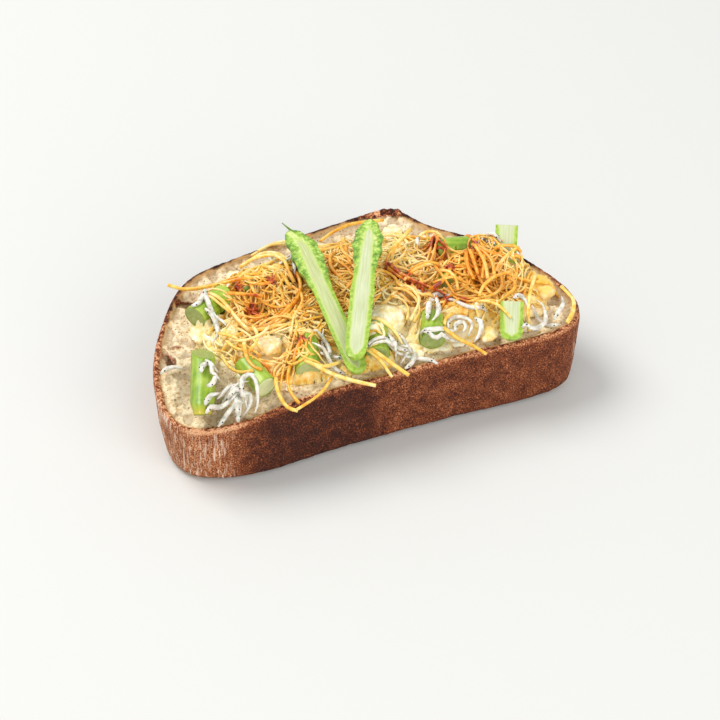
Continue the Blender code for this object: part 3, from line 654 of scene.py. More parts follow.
# Half the width along a spear and along a short length, as a share of the near end's
SPEAR_PROFILES = {
    "spear_half_left": (
        (0.0, 0.35), (0.008, 0.7), (0.025, 0.9), (0.06, 1.0), (0.3, 1.0), (0.5, 0.97), (0.56, 0.96),
        (0.62, 1.1), (0.7, 1.3), (0.76, 1.45), (0.82, 1.47), (0.87, 1.4), (0.92, 1.24), (0.955, 1.04),
        (0.98, 0.78), (0.993, 0.5), (1.0, 0.2),
    ),
    "spear_half_right": (
        (0.0, 0.3), (0.008, 0.55), (0.025, 0.76), (0.05, 0.88), (0.15, 0.97), (0.3, 1.0), (0.42, 1.01),
        (0.47, 1.06), (0.52, 0.98), (0.6, 0.93), (0.66, 0.94), (0.72, 1.12), (0.77, 1.25), (0.83, 1.28),
        (0.88, 1.2), (0.92, 1.02), (0.95, 0.82), (0.975, 0.6), (0.99, 0.38), (1.0, 0.12),
    ),
}
LENGTH_PROFILE = ((0.0, 0.35), (0.04, 0.7), (0.1, 0.9), (0.2, 0.98), (1.0, 1.0))
# Half the width of the pale core, as a share of the stem's own
SPEAR_CORE = (
    (0.0, -0.1), (0.03, 0.45), (0.08, 0.78), (0.4, 0.8), (0.55, 0.78), (0.65, 0.68), (0.75, 0.56),
    (0.85, 0.48), (0.9, 0.42), (0.94, 0.12), (1.0, -0.2),
)
LENGTH_CORE = ((0.0, -0.3), (0.08, 0.1), (0.2, 0.7), (1.0, 0.9))
# The thin bract that stands off the left spear's tip: its root and its tip
BRACT_MM = ((-9.4, 27.2, 46.4), (-12.3, 32.4, 48.4))
split_skin, tree, surface = start_material("split_asparagus")
face_map = add_node(tree, "UVMap", uv_map="along").outputs[0]
core_here = add_node(tree, "Attribute", attribute_name="core").outputs["Fac"]
head_here = add_node(tree, "Attribute", attribute_name="head").outputs["Fac"]
side_here = add_node(tree, "Attribute", attribute_name="side").outputs["Fac"]
ripe_here = add_node(tree, "Attribute", attribute_name="ripe").outputs["Fac"]
bud_noise = add_node(
    tree, "TexNoise", {"Vector": face_map, "Scale": 1 / 2.2, "Detail": 3.0, "Roughness": 0.6}
)
greener = add_node(
    tree, "Math", {0: side_here, 1: -0.24, 2: bud_noise.outputs["Fac"]}, operation="MULTIPLY_ADD"
)
leafy = add_node(
    tree, "ValToRGB", {"Fac": greener.outputs[0]},
    stops=((0.14, "4c7420"), (0.28, "82aa35"), (0.4, "aac855"), (0.54, "d6e18e")),
)
scale = add_node(tree, "TexVoronoi", {"Vector": face_map, "Scale": 1 / 2.4, "Randomness": 0.9})
scale_edge = add_node(
    tree, "TexVoronoi", {"Vector": face_map, "Scale": 1 / 2.4, "Randomness": 0.9},
    feature="DISTANCE_TO_EDGE",
)
seam = add_node(tree, "MapRange", {0: scale_edge.outputs["Distance"], 1: 0.0, 2: 0.12, 3: 0.75, 4: 0.0})
seam_here = add_node(tree, "Math", {0: seam.outputs[0], 1: side_here}, operation="MULTIPLY")
scaled = add_node(
    tree, "Mix", {0: seam_here.outputs[0], 6: leafy.outputs[0], 7: srgb("5a7d2a")}, data_type="RGBA"
)
near_seam = add_node(tree, "Math", {0: scale.outputs["Distance"], 1: 0.16}, operation="LESS_THAN")
few = add_node(tree, "Math", {0: scale.outputs["Color"], 1: 0.55}, operation="GREATER_THAN")
tipped = add_node(tree, "Math", {0: near_seam.outputs[0], 1: few.outputs[0]}, operation="MULTIPLY")
speck = add_node(tree, "Math", {0: tipped.outputs[0], 1: side_here}, operation="MULTIPLY")
bud = add_node(tree, "Mix", {0: speck.outputs[0], 6: scaled.outputs[2], 7: srgb("34501a")}, data_type="RGBA")
stem_noise = add_node(tree, "TexNoise", {"Vector": face_map, "Scale": 1 / 1.5, "Detail": 3.0})
stem_green = add_node(
    tree, "ValToRGB", {"Fac": stem_noise.outputs["Fac"]},
    stops=((0.3, "7a9c28"), (0.5, "98b83c"), (0.7, "b2ca58")),
)
outer = add_node(tree, "Mix", {0: head_here, 6: stem_green.outputs[0], 7: bud.outputs[2]}, data_type="RGBA")
stretched = add_node(tree, "Mapping", {"Vector": face_map, "Scale": (0.1, 1.6, 1.0)})
fibre = add_node(tree, "TexNoise", {"Vector": stretched.outputs[0], "Scale": 1.0, "Detail": 3.0})
pith = add_node(
    tree, "ValToRGB", {"Fac": fibre.outputs["Fac"]},
    stops=((0.3, "b6c08c"), (0.5, "c2c99e"), (0.75, "d0d5b2")),
)
ripe_pith = add_node(
    tree, "ValToRGB", {"Fac": fibre.outputs["Fac"]},
    stops=((0.3, "acb576"), (0.5, "b9c186"), (0.75, "cad09e")),
)
core = add_node(tree, "Mix", {0: ripe_here, 6: pith.outputs[0], 7: ripe_pith.outputs[0]}, data_type="RGBA")
rim = add_node(tree, "MapRange", {0: core_here, 1: 0.0, 2: 0.45})
rimmed = add_node(tree, "Mix", {0: rim.outputs[0], 6: outer.outputs[2], 7: srgb("bdcd74")}, data_type="RGBA")
middle = add_node(tree, "MapRange", {0: core_here, 1: 0.35, 2: 1.0})
split = add_node(
    tree, "Mix", {0: middle.outputs[0], 6: rimmed.outputs[2], 7: core.outputs[2]}, data_type="RGBA"
)
knobbly = add_node(tree, "Math", {0: bud_noise.outputs["Fac"], 1: head_here}, operation="MULTIPLY")
bud_bump = add_node(tree, "Bump", {"Strength": 0.5, "Distance": 0.8 * MM, "Height": knobbly.outputs[0]})
tree.links.new(split.outputs[2], surface.inputs["Base Color"])
tree.links.new(bud_bump.outputs[0], surface.inputs["Normal"])
surface.inputs["Roughness"].default_value = 0.35
surface.inputs["Subsurface Weight"].default_value = 0.12
surface.inputs["Subsurface Scale"].default_value = 1.5 * MM
for name, (near, far, width, seed) in SPLIT_MM.items():
    is_spear = name.startswith("spear")
    profile = SPEAR_PROFILES.get(name, LENGTH_PROFILE)
    core_line = SPEAR_CORE if is_spear else LENGTH_CORE
    near, far = Vector(near) * MM, Vector(far) * MM
    length = (far - near).length
    along = (far - near).normalized()
    across = along.cross(Vector((0, 0, 1))).normalized()
    out = across.cross(along)
    split_bm = bmesh.new()
    bmesh.ops.create_cone(split_bm, cap_ends=True, segments=56, radius1=1, radius2=1, depth=1)
    long_edges = [e for e in split_bm.edges if e.verts[0].co.z * e.verts[1].co.z < 0]
    bmesh.ops.subdivide_edges(split_bm, edges=long_edges, cuts=int(length / (0.5 * MM)))
    local, core_share, head_share, side_share = [], [], [], []
    for vert in split_bm.verts:
        share, side, rise = vert.co.z + 0.5, vert.co.x, vert.co.y
        half = np.interp(share, *zip(*profile)) * width / 2 * MM
        head = float(smooth_step((share - 0.55) / 0.12)) * is_spear
        scallop = math.sin(share * 62 + seed + (2.2 if side > 0 else 0)) * 0.5 + 0.5
        half *= 1 + 0.12 * head * (scallop**2 - 0.3) * abs(side)
        inner = np.interp(share, *zip(*core_line))
        inner += 0.08 * noise.noise(Vector((share * length / (4 * MM), side, seed)))
        if rise > 0:
            depth = 0.3 * rise * (1 - side * side) * MM * (1 - 0.5 * head)
        else:
            depth = rise * half * (1 + 0.05 * head * math.sin(share * 70 + 6 * side))
        local.append((share * length / MM, side * half / MM))
        core_share.append(smooth_step((inner - abs(side)) / 0.36) if rise > -0.02 else 0.0)
        head_share.append(head)
        side_share.append(abs(side) if rise > -0.02 else 1.0)
        tip_bend = -1.9 * MM * smooth_step((share - 0.86) / 0.14) * (name == "spear_half_left")
        vert.co = near.lerp(far, share) + across * (side * half + tip_bend) + out * depth
    if name == "spear_half_left":
        root, tip = Vector(BRACT_MM[0]) * MM, Vector(BRACT_MM[1]) * MM
        stands = (tip - root).to_track_quat("Z", "Y").to_matrix().to_4x4()
        bract = bmesh.ops.create_cone(
            split_bm, cap_ends=True, segments=8, radius1=0.6 * MM, radius2=0.15 * MM,
            depth=(tip - root).length, matrix=Matrix.Translation((root + tip) / 2) @ stands,
        )
        for shares, value in ((core_share, 0.0), (head_share, 1.0), (side_share, 1.0)):
            shares += [value] * len(bract["verts"])
        local += [(length / MM, 0.0)] * len(bract["verts"])
    split_mesh = bpy.data.meshes.new(name)
    bmesh.ops.recalc_face_normals(split_bm, faces=split_bm.faces)
    split_bm.to_mesh(split_mesh)
    split_bm.free()
    store(split_mesh, "core", core_share)
    store(split_mesh, "head", head_share)
    store(split_mesh, "side", side_share)
    store(split_mesh, "ripe", [1.0 if name == "spear_half_left" else 0.0] * len(local))
    uv = split_mesh.uv_layers.new(name="along")
    for loop in split_mesh.loops:
        u, v = local[loop.vertex_index]
        uv.data[loop.index].uv = (u, v + 20 * seed)
    slot = "spear" if is_spear else "stalk"
    settle_piece(name + "_split", split_mesh, [split_skin], slot, name)
    shell = points_of(split_mesh)
    if is_spear:
        np.minimum.at(roof, squares(shell), shell[:, 2])
    else:
        raise_relief(shell)

# The grilled cheese in the heap
# The cheese that ran between the strands and set there, with shreds of it half sunk in it: golden,
# with orange and red-brown spots where the grill caught it. It lies on the pool and holds the heap.
# Where the grill browned the heap: x, y, radius and how much
BROWNED_MM = (
    (-34.7, 5.9, 3.2, 1.1), (-37.0, 15.0, 2, 0.9), (-44.7, -30.4, 3.2, 1.0), (-24.8, 12.6, 2.5, 0.8),
    (19.8, 5.0, 1.8, 1.0), (21.9, 0.7, 2.2, 1.1), (24.2, -3.5, 2.2, 1.1), (25.0, -7.8, 2.0, 1.0),
    (27.0, -11.2, 2.2, 1.1), (31.1, -16.0, 2.2, 1.1), (33.4, -20.1, 2.2, 1.0), (38.5, -22.9, 2.4, 1.1),
    (40.9, 12.1, 2.4, 1.1), (42.8, 6.8, 2.6, 1.1), (39.2, 1.6, 2.0, 1.0), (40.5, -6.5, 2.2, 1.1),
    (56.9, 8.5, 2.4, 1.1), (53.8, 2.5, 2.4, 1.0), (-27.0, -24.0, 3.0, 0.8), (-15.0, 14.0, 2.0, 0.8),
)
# Where it turned orange
TANNED_MM = (
    (50, -8, 12, 1.0), (-34, 3, 11, 0.8), (-45, -28, 7, 0.9), (28, -10, 10, 0.7), (-28, -26, 8, 0.8),
    (42, 8, 8, 0.6), (-18, 2, 9, 0.7), (2, 10, 12, 0.6), (-4, -6, 9, 0.6), (-40, 12, 9, 0.6),
    (58, -20, 8, 0.7), (12, 20, 8, 0.4),
)
# Where it stayed cream-coloured, as the heat didn't reach it
CREAMED_MM = (
    (14, -17, 12, 1.1), (-57, 3, 9, 1.0), (-37, -12, 9, 0.9), (31, 9, 10, 0.6), (62, -14, 6, 0.3),
    (-48, -4, 9, 0.9), (28, 22, 10, 0.8), (-8, 34, 12, 0.5),
)
# Places that the heap mostly leaves open: x, y, radius and how often things turn away from them
WINDOWS_MM = (
    (-66, -27, 8, 1.0), (-36, -17, 6, 0.9), (8.5, -21, 8.5, 1.0), (-59, 4, 5, 0.6), (50, -42, 7, 1.0),
    (33, -34, 7, 0.9), (12, -37, 7, 0.85), (-17, -29, 4, 0.9), (72, -22, 5, 0.8),
    (-20, -30, 6, 0.8), (50, 9, 5, 1.0), (69, 3, 5, 1.0),
    (66, -38, 7, 0.95), (22, -34, 6, 0.8), (1, -32, 5, 0.7), (-47, -34, 5, 0.7), (-48, 13, 6, 0.7),
    (22, -13, 3.5, 0.8), (43, -20, 3.5, 0.8), (36, -10, 3, 0.9), (27, 24, 5, 0.7), (-64, -8, 7, 1.0),
)
# Where it ran over the low end of a split stem: x, y and how thick
DRAPED_MM = (
    (60.5, -8.5, 3.4), (63.5, -8.0, 3.2), (66.5, -8.5, 2.8), (69.0, -10.5, 3.0), (61.5, -5.4, 2.6),
    (64.5, -5.6, 2.0), (67.0, -5.5, 1.8), (58.0, -6.0, 3.6), (64.5, -11.5, 4.0), (68.0, -14.0, 3.6),
    (47.5, -7.0, 1.8), (40.5, -3.0, 1.8), (44.5, 10.0, 0.9), (57.0, 5.5, 1.2), (45.0, -3.0, 1.4),
)


def turns_away(path):
    """Whether something along the path keeps off the open places, by chance."""
    for wx, wy, wide, chance in WINDOWS_MM:
        near = np.hypot(path[:, 0] - wx * MM, path[:, 1] - wy * MM).min() < wide * MM
        if near and luck.random() < chance:
            return True
    return False


def curled_path(middle, length, step, bends, change):
    """A flat curve about the middle, with one steady bend after another, as in a limp thin thing."""
    heading, turning, path = luck.uniform(0, math.tau), luck.choice(bends), [middle]
    aim = turning
    for _ in range(round(length / step)):
        if luck.random() < change:
            aim = luck.choice(bends)
        turning += 0.3 * (aim - turning)
        heading += turning * step
        path.append(path[-1] + np.array([math.cos(heading), math.sin(heading)]) * step)
    return np.array(path) + middle - path[len(path) // 2]


def sweep(points, radii, sides, flat=1.0, twist=0.0):
    """The points and faces of a closed tube along the path, flattened and twisted if asked."""
    along = np.gradient(points, axis=0)
    along /= np.linalg.norm(along, axis=1)[:, None]
    across = np.cross(along, [0, 0, 1.0])
    across /= np.linalg.norm(across, axis=1)[:, None]
    out = np.cross(across, along)
    turns = np.arange(sides) * math.tau / sides
    spin = np.linspace(0, twist, len(points))[:, None]
    wide, high = np.cos(turns)[None] * np.ones_like(spin), np.sin(turns)[None] * flat
    wide, high = wide * np.cos(spin) - high * np.sin(spin), wide * np.sin(spin) + high * np.cos(spin)
    ring = across[:, None] * wide[..., None] + out[:, None] * high[..., None]
    verts = (points[:, None] + ring * np.asarray(radii)[:, None, None]).reshape(-1, 3)
    faces = []
    for i in range(len(points) - 1):
        for k in range(sides):
            a, b = i * sides + k, i * sides + (k + 1) % sides
            faces.append((a, b, b + sides, a + sides))
    faces.append(tuple(range(sides))[::-1])
    last = (len(points) - 1) * sides
    faces.append(tuple(range(last, last + sides)))
    return verts, faces


def joined(parts, name):
    """One mesh of many swept parts, with each part's own tone kept for its material."""
    verts, faces, tones, first = [], [], [], 0
    for (swept, loops), tone in parts:
        verts.append(swept)
        faces += [tuple(first + i for i in loop) for loop in loops]
        tones += [tone] * len(swept)
        first += len(swept)
    mesh = bpy.data.meshes.new(name)
    mesh.from_pydata(np.concatenate(verts).tolist(), [], faces)
    store(mesh, "tone", tones)
    return mesh


def hits_roof(points, radius):
    return bool((points[:, 2] + radius > roof[squares(points)] - 0.1 * MM).any())


def keep_heat(mesh):
    places = points_of(mesh)
    halo = [(x, y, 2 * wide, 0.9 * strength) for x, y, wide, strength in BROWNED_MM]
    store(mesh, "browned", caught(places, BROWNED_MM))
    store(mesh, "tanned", np.maximum(caught(places, TANNED_MM), caught(places, halo)))
    store(mesh, "creamed", caught(places, CREAMED_MM))


def spread(heights, reach, pick):
    """Each square takes the highest or the lowest of those up to this many squares away."""
    for _ in range(reach):
        near = [np.roll(heights, shift, axis) for axis in (0, 1) for shift in (-1, 1)]
        heights = pick.reduce([heights, *near])
    return heights


# How high the cheese of the heap stood over the bread before any strand lay on it
rows, columns = np.indices(relief.shape)
middles = np.column_stack([rows.ravel() + 0.5, columns.ravel() + 0.5]) * CELL + CORNER
within = in_mat(middles).reshape(relief.shape)
rim = distance_to(mat_line, middles).reshape(relief.shape)
cloud = ripples(np.column_stack([middles, np.zeros(len(middles))]), 11 * MM, 5).reshape(relief.shape)
kept_open = np.zeros(relief.shape)
for wx, wy, wide, chance in WINDOWS_MM:
    near = np.hypot(middles[:, 0] - wx * MM, middles[:, 1] - wy * MM).reshape(relief.shape) / (wide * MM)
    kept_open = np.maximum(kept_open, chance * np.exp(-(near**4)))
fill = 1.0 + 5.0 * smooth_step(rim / (14 * MM)) * (0.75 + cloud)
fill *= smooth_step((0.75 - kept_open) / 0.4) * within
np.maximum(relief, np.minimum(bare + fill * MM, roof - MM), out=relief)
for bx, by, rise in DRAPED_MM:
    near = np.hypot(middles[:, 0] - bx * MM, middles[:, 1] - by * MM).reshape(relief.shape) / (3 * MM)
    ground = relief[squares([(bx * MM, by * MM)])][0]
    dome = np.where(near < 1, ground + rise * MM * np.sqrt(np.maximum(1 - near * near, 0)), 0)
    np.maximum(relief, dome, out=relief)


def grilled_colour(tree, tone, golden_stops, tanned_stops, scorched_stops):
    """The colour of something golden that the grill caught in places, by its own tone."""
    place = add_node(tree, "TexCoord").outputs["Object"]
    browned = add_node(tree, "Attribute", attribute_name="browned").outputs["Fac"]
    tanned = add_node(tree, "Attribute", attribute_name="tanned").outputs["Fac"]
    blister = add_node(
        tree, "TexNoise", {"Vector": place, "Scale": 1 / (2.4 * MM), "Detail": 4.0, "Roughness": 0.6}
    )
    pale = add_node(tree, "Math", {0: tone, 1: 0.25, 2: blister.outputs["Fac"]}, operation="MULTIPLY_ADD")
    creamed = add_node(tree, "Attribute", attribute_name="creamed").outputs["Fac"]
    paler = add_node(tree, "Math", {0: creamed, 1: 0.24, 2: pale.outputs[0]}, operation="MULTIPLY_ADD")
    golden = add_node(tree, "ValToRGB", {"Fac": paler.outputs[0]}, stops=golden_stops)
    orange = add_node(tree, "ValToRGB", {"Fac": pale.outputs[0]}, stops=tanned_stops)
    warm = add_node(tree, "Mix", {0: tanned, 6: golden.outputs[0], 7: orange.outputs[0]}, data_type="RGBA")
    heat = add_node(tree, "Math", {0: blister.outputs["Fac"], 1: 1.5, 2: browned}, operation="MULTIPLY_ADD")
    edge = add_node(tree, "MapRange", {0: heat.outputs[0], 1: 1.05, 2: 1.4})
    scorched = add_node(tree, "ValToRGB", {"Fac": blister.outputs["Fac"]}, stops=scorched_stops)
    burnt = add_node(
        tree, "Mix", {0: edge.outputs[0], 6: warm.outputs[2], 7: scorched.outputs[0]}, data_type="RGBA"
    )
    return burnt.outputs[2]


# Grilled cheese: blistered and greasy, cream to golden, orange and red-brown where it was hottest
grilled, tree, surface = start_material("grilled_cheese")
tone_here = add_node(tree, "Attribute", attribute_name="tone").outputs["Fac"]
colour = grilled_colour(
    tree, tone_here,
    ((0.36, "e29a22"), (0.47, "efb83c"), (0.58, "f6cf68"), (0.78, "faeab2")),
    ((0.36, "d97812"), (0.5, "ee9a1e"), (0.7, "f7bf46")),
    ((0.35, "da7626"), (0.5, "bd4f1c"), (0.64, "8b3017")),
)
fine = add_node(tree, "TexNoise", {"Vector": add_node(tree, "TexCoord").outputs["Object"], "Scale": 1 / MM})
bubbly = add_node(tree, "Bump", {"Strength": 0.6, "Distance": 0.6 * MM, "Height": fine.outputs["Fac"]})
tree.links.new(colour, surface.inputs["Base Color"])
tree.links.new(bubbly.outputs[0], surface.inputs["Normal"])
surface.inputs["Roughness"].default_value = 0.34
surface.inputs["Subsurface Weight"].default_value = 0.15
surface.inputs["Subsurface Scale"].default_value = 1.5 * MM

# The whitebait
# Baby sardines boiled in brine: soft curled fish a little thicker than a strand, white to grey and
# milky, with a black eye on each side of the head.
# The ones in plain view, from head to tail
FISH_SEEN_MM = (
    ((-55, -33.9, 34.5), (-57.8, -33.2, 34.6), (-60.9, -34.4, 34.2), (-65, -37.3, 32.6)),
    ((-60.5, -46.5, 29), (-59.6, -44.1, 31), (-57.3, -39.9, 33), (-54.6, -33.5, 34)),
    ((-60.4, -45.7, 29.4), (-58.5, -39.4, 33), (-57.8, -36, 34), (-57.9, -32.6, 34.4)),
    ((-71.5, -43.4, 26.4), (-68, -40.4, 28), (-64, -39.4, 30.7), (-59.7, -39.2, 32.9),
     (-56.2, -37.4, 34.1)),
    ((-67.4, -44, 26.9), (-63.2, -42.1, 29.2), (-58.8, -41.9, 30.9), (-55.4, -41.1, 31.5)),
    ((-63.2, -37.2, 31), (-59.3, -36.2, 32.7), (-55, -35.3, 34.4), (-51.9, -35.4, 34.9)),
    ((-57.1, -39.6, 31.8), (-54.6, -38.3, 33.3), (-52.9, -39.8, 33.5), (-54.8, -42.6, 31.1),
     (-57.8, -44.1, 29)),
    ((-70.8, -40.5, 26.6), (-67, -36.7, 28.5), (-63.2, -36.2, 31.1)),
    ((-61.6, -39.2, 32.1), (-58.3, -37.8, 32.8), (-56, -39.7, 32), (-56, -43.6, 30.4)),
    ((-57, -41.6, 32), (-54.8, -35.8, 34.2), (-52.8, -34, 34.8), (-50.9, -34, 34.6), (-50.2, -37.6, 33.6),
     (-51.4, -42.9, 31.6), (-53.6, -45.4, 30.4)),
    ((-67.2, -26.9, 39.4), (-65.2, -23.6, 39.4), (-62.3, -23, 38.6), (-60.6, -26.6, 37)),
    ((-67.7, -34.5, 39), (-65.5, -33.6, 38.6), (-63.1, -30.4, 38), (-62.4, -26.5, 38)),
    ((-63.9, -22.4, 38.6), (-62.4, -25.2, 38), (-63.6, -28.8, 38.4), (-61.5, -31.2, 37)),
    ((-78.1, -13.2, 31), (-75.5, -11.2, 31), (-72, -11.5, 31), (-68.7, -14.1, 31)),
    ((52.1, -46.4, 31.8), (57.4, -45.3, 32.6), (62.3, -43.4, 33), (65, -40.2, 33), (66.7, -34.2, 33.4),
     (65.4, -30.6, 34)),
    ((54.9, -32.8, 40), (58.3, -30.5, 38.4), (60, -31.7, 37), (59.7, -35.6, 35)),
    ((67.9, -41.4, 32), (70.3, -39.3, 32.6), (74.6, -35.3, 33), (75.7, -31.2, 33)),
    ((20.2, -31.6, 36), (23.3, -26, 37), (26, -22.1, 37), (28.2, -21.7, 37)),
    ((28.2, -21.7, 37), (27.2, -26.3, 37), (24.6, -30.9, 37), (21.5, -33.3, 36)),
    ((27.2, -35, 34.5), (29.9, -29.9, 34.5), (33.8, -29.3, 34.5), (36.9, -31.6, 34.5), (36.7, -35.8, 34.5),
     (33.4, -39.4, 33.5)),
    ((29.6, -36, 34.5), (31.4, -33, 35), (33.9, -32.8, 35), (34.3, -35.5, 35), (32.1, -37.7, 34.5)),
    ((39.8, -31.5, 34), (40.5, -35.5, 34), (38.2, -39.6, 33), (34.8, -41.8, 32)),
    ((15.9, -35.2, 33), (19.5, -37.9, 33), (25.2, -37.8, 33), (29.6, -37.2, 33)),
    ((16.6, -37.3, 32.5), (20, -40.6, 32.5), (25, -40.2, 32.5), (30.7, -40.1, 32.5)),
    ((4.5, -31.7, 33), (5, -36.2, 32.5), (3.5, -41.6, 32)),
    ((9, -30.5, 33), (8.8, -36.6, 32.5), (10.5, -40.3, 32)),
    ((-58, 8.4, 34), (-54.9, 9.1, 35), (-52, 12.9, 38), (-49.8, 17.7, 38)),
    ((-50.2, 15.3, 39), (-51.4, 8.8, 38), (-50.6, 3.4, 36), (-48.6, 1.4, 35), (-48.4, -2.4, 34)),
    ((-53.5, 6, 35), (-51.3, 2, 34), (-51.9, -3, 34), (-54.5, -5.5, 33)),
    ((38.9, 18.9, 35.6), (37.2, 17.2, 36), (36.5, 14.2, 36)),
)
# The clusters in and on the heap: x, y, radius and how many
FISH_UNDER_MM = ((62, -39, 3, 1), (5, -2, 40, 6))
FISH_OVER_MM = (
    (10, -38, 3, 3), (-17, -26, 2, 2), (-17, 30, 2, 2), (62, 9, 2, 1), (-20, -34, 2, 1), (-12, 20, 3, 2),
    (1, -35, 3, 2),
)
FISH_MM = (0.45, 0.8, 0.95, 0.98, 0.94, 0.86, 0.74, 0.6, 0.42, 0.18)
luck = random.Random(21)
fish_parts, eye_parts = [], []


def smooth_path(corners_mm, step):
    """The smooth open line through the corners, with its points about this far apart."""
    line = [Vector(corner) * MM for corner in corners_mm]
    line = [line[0] * 2 - line[1], *line, line[-1] * 2 - line[-2]]
    fine = []
    for before, start, end, after in zip(line, line[1:], line[2:], line[3:]):
        handles = start + (end - before) / 6, end - (after - start) / 6
        fine += geometry.interpolate_bezier(start, *handles, end, 12)[:-1]
    fine = np.array([*fine, line[-2]])
    along = np.concatenate([[0], np.cumsum(np.linalg.norm(np.diff(fine, axis=0), axis=1))])
    stops = np.linspace(0, along[-1], max(3, round(along[-1] / step) + 1))
    return np.column_stack([np.interp(stops, along, axis) for axis in fine.T])


def add_fish(laid, girth):
    shares = np.linspace(0, 1, len(laid))
    radii = np.interp(shares, np.linspace(0, 1, len(FISH_MM)), FISH_MM) * girth * MM
    fish_parts.append((sweep(laid, radii, 6, 0.9), luck.random()))
    press_in(laid, 0.7 * MM)
    side = np.cross(laid[0] - laid[2], [0, 0, 1])
    side /= np.linalg.norm(side)
    for hand in (-1, 1):
        eye_parts.append(laid[1] + side * hand * 0.6 * MM * girth + np.array([0, 0, 0.38 * MM]))


def lay_fish(clusters_mm):
    for cx, cy, reach, count in clusters_mm:
        for _ in range(count * 12):
            turn, arm = luck.uniform(0, math.tau), math.sqrt(luck.random()) * reach * MM
            middle = np.array([cx * MM + math.cos(turn) * arm, cy * MM + math.sin(turn) * arm])
            length = luck.uniform(13, 20) * MM
            path = curled_path(middle, length, length / 9, (-220, -130, -60, 60, 130, 220), 0.1)
            laid = settled(path, 0.85 * MM, 8)
            if relief[squares(path)].min() < ON_THE_SLICE or hits_roof(laid, 0.9 * MM):
                continue
            add_fish(laid, luck.uniform(0.8, 1.05))
            count -= 1
            if not count:
                break


lay_fish(FISH_UNDER_MM)

# The golden strands
# Thin shreds, taken as fried crisp, that browned in the oven where they stood up. They are a little
# flat and stiff enough to bridge a gap. Those in plain view are placed, and the rest lie at random.
STRAND_COUNT = 112
STRAND_RADIUS = 0.76 * MM
HIGHEST_STRAND = 41 * MM
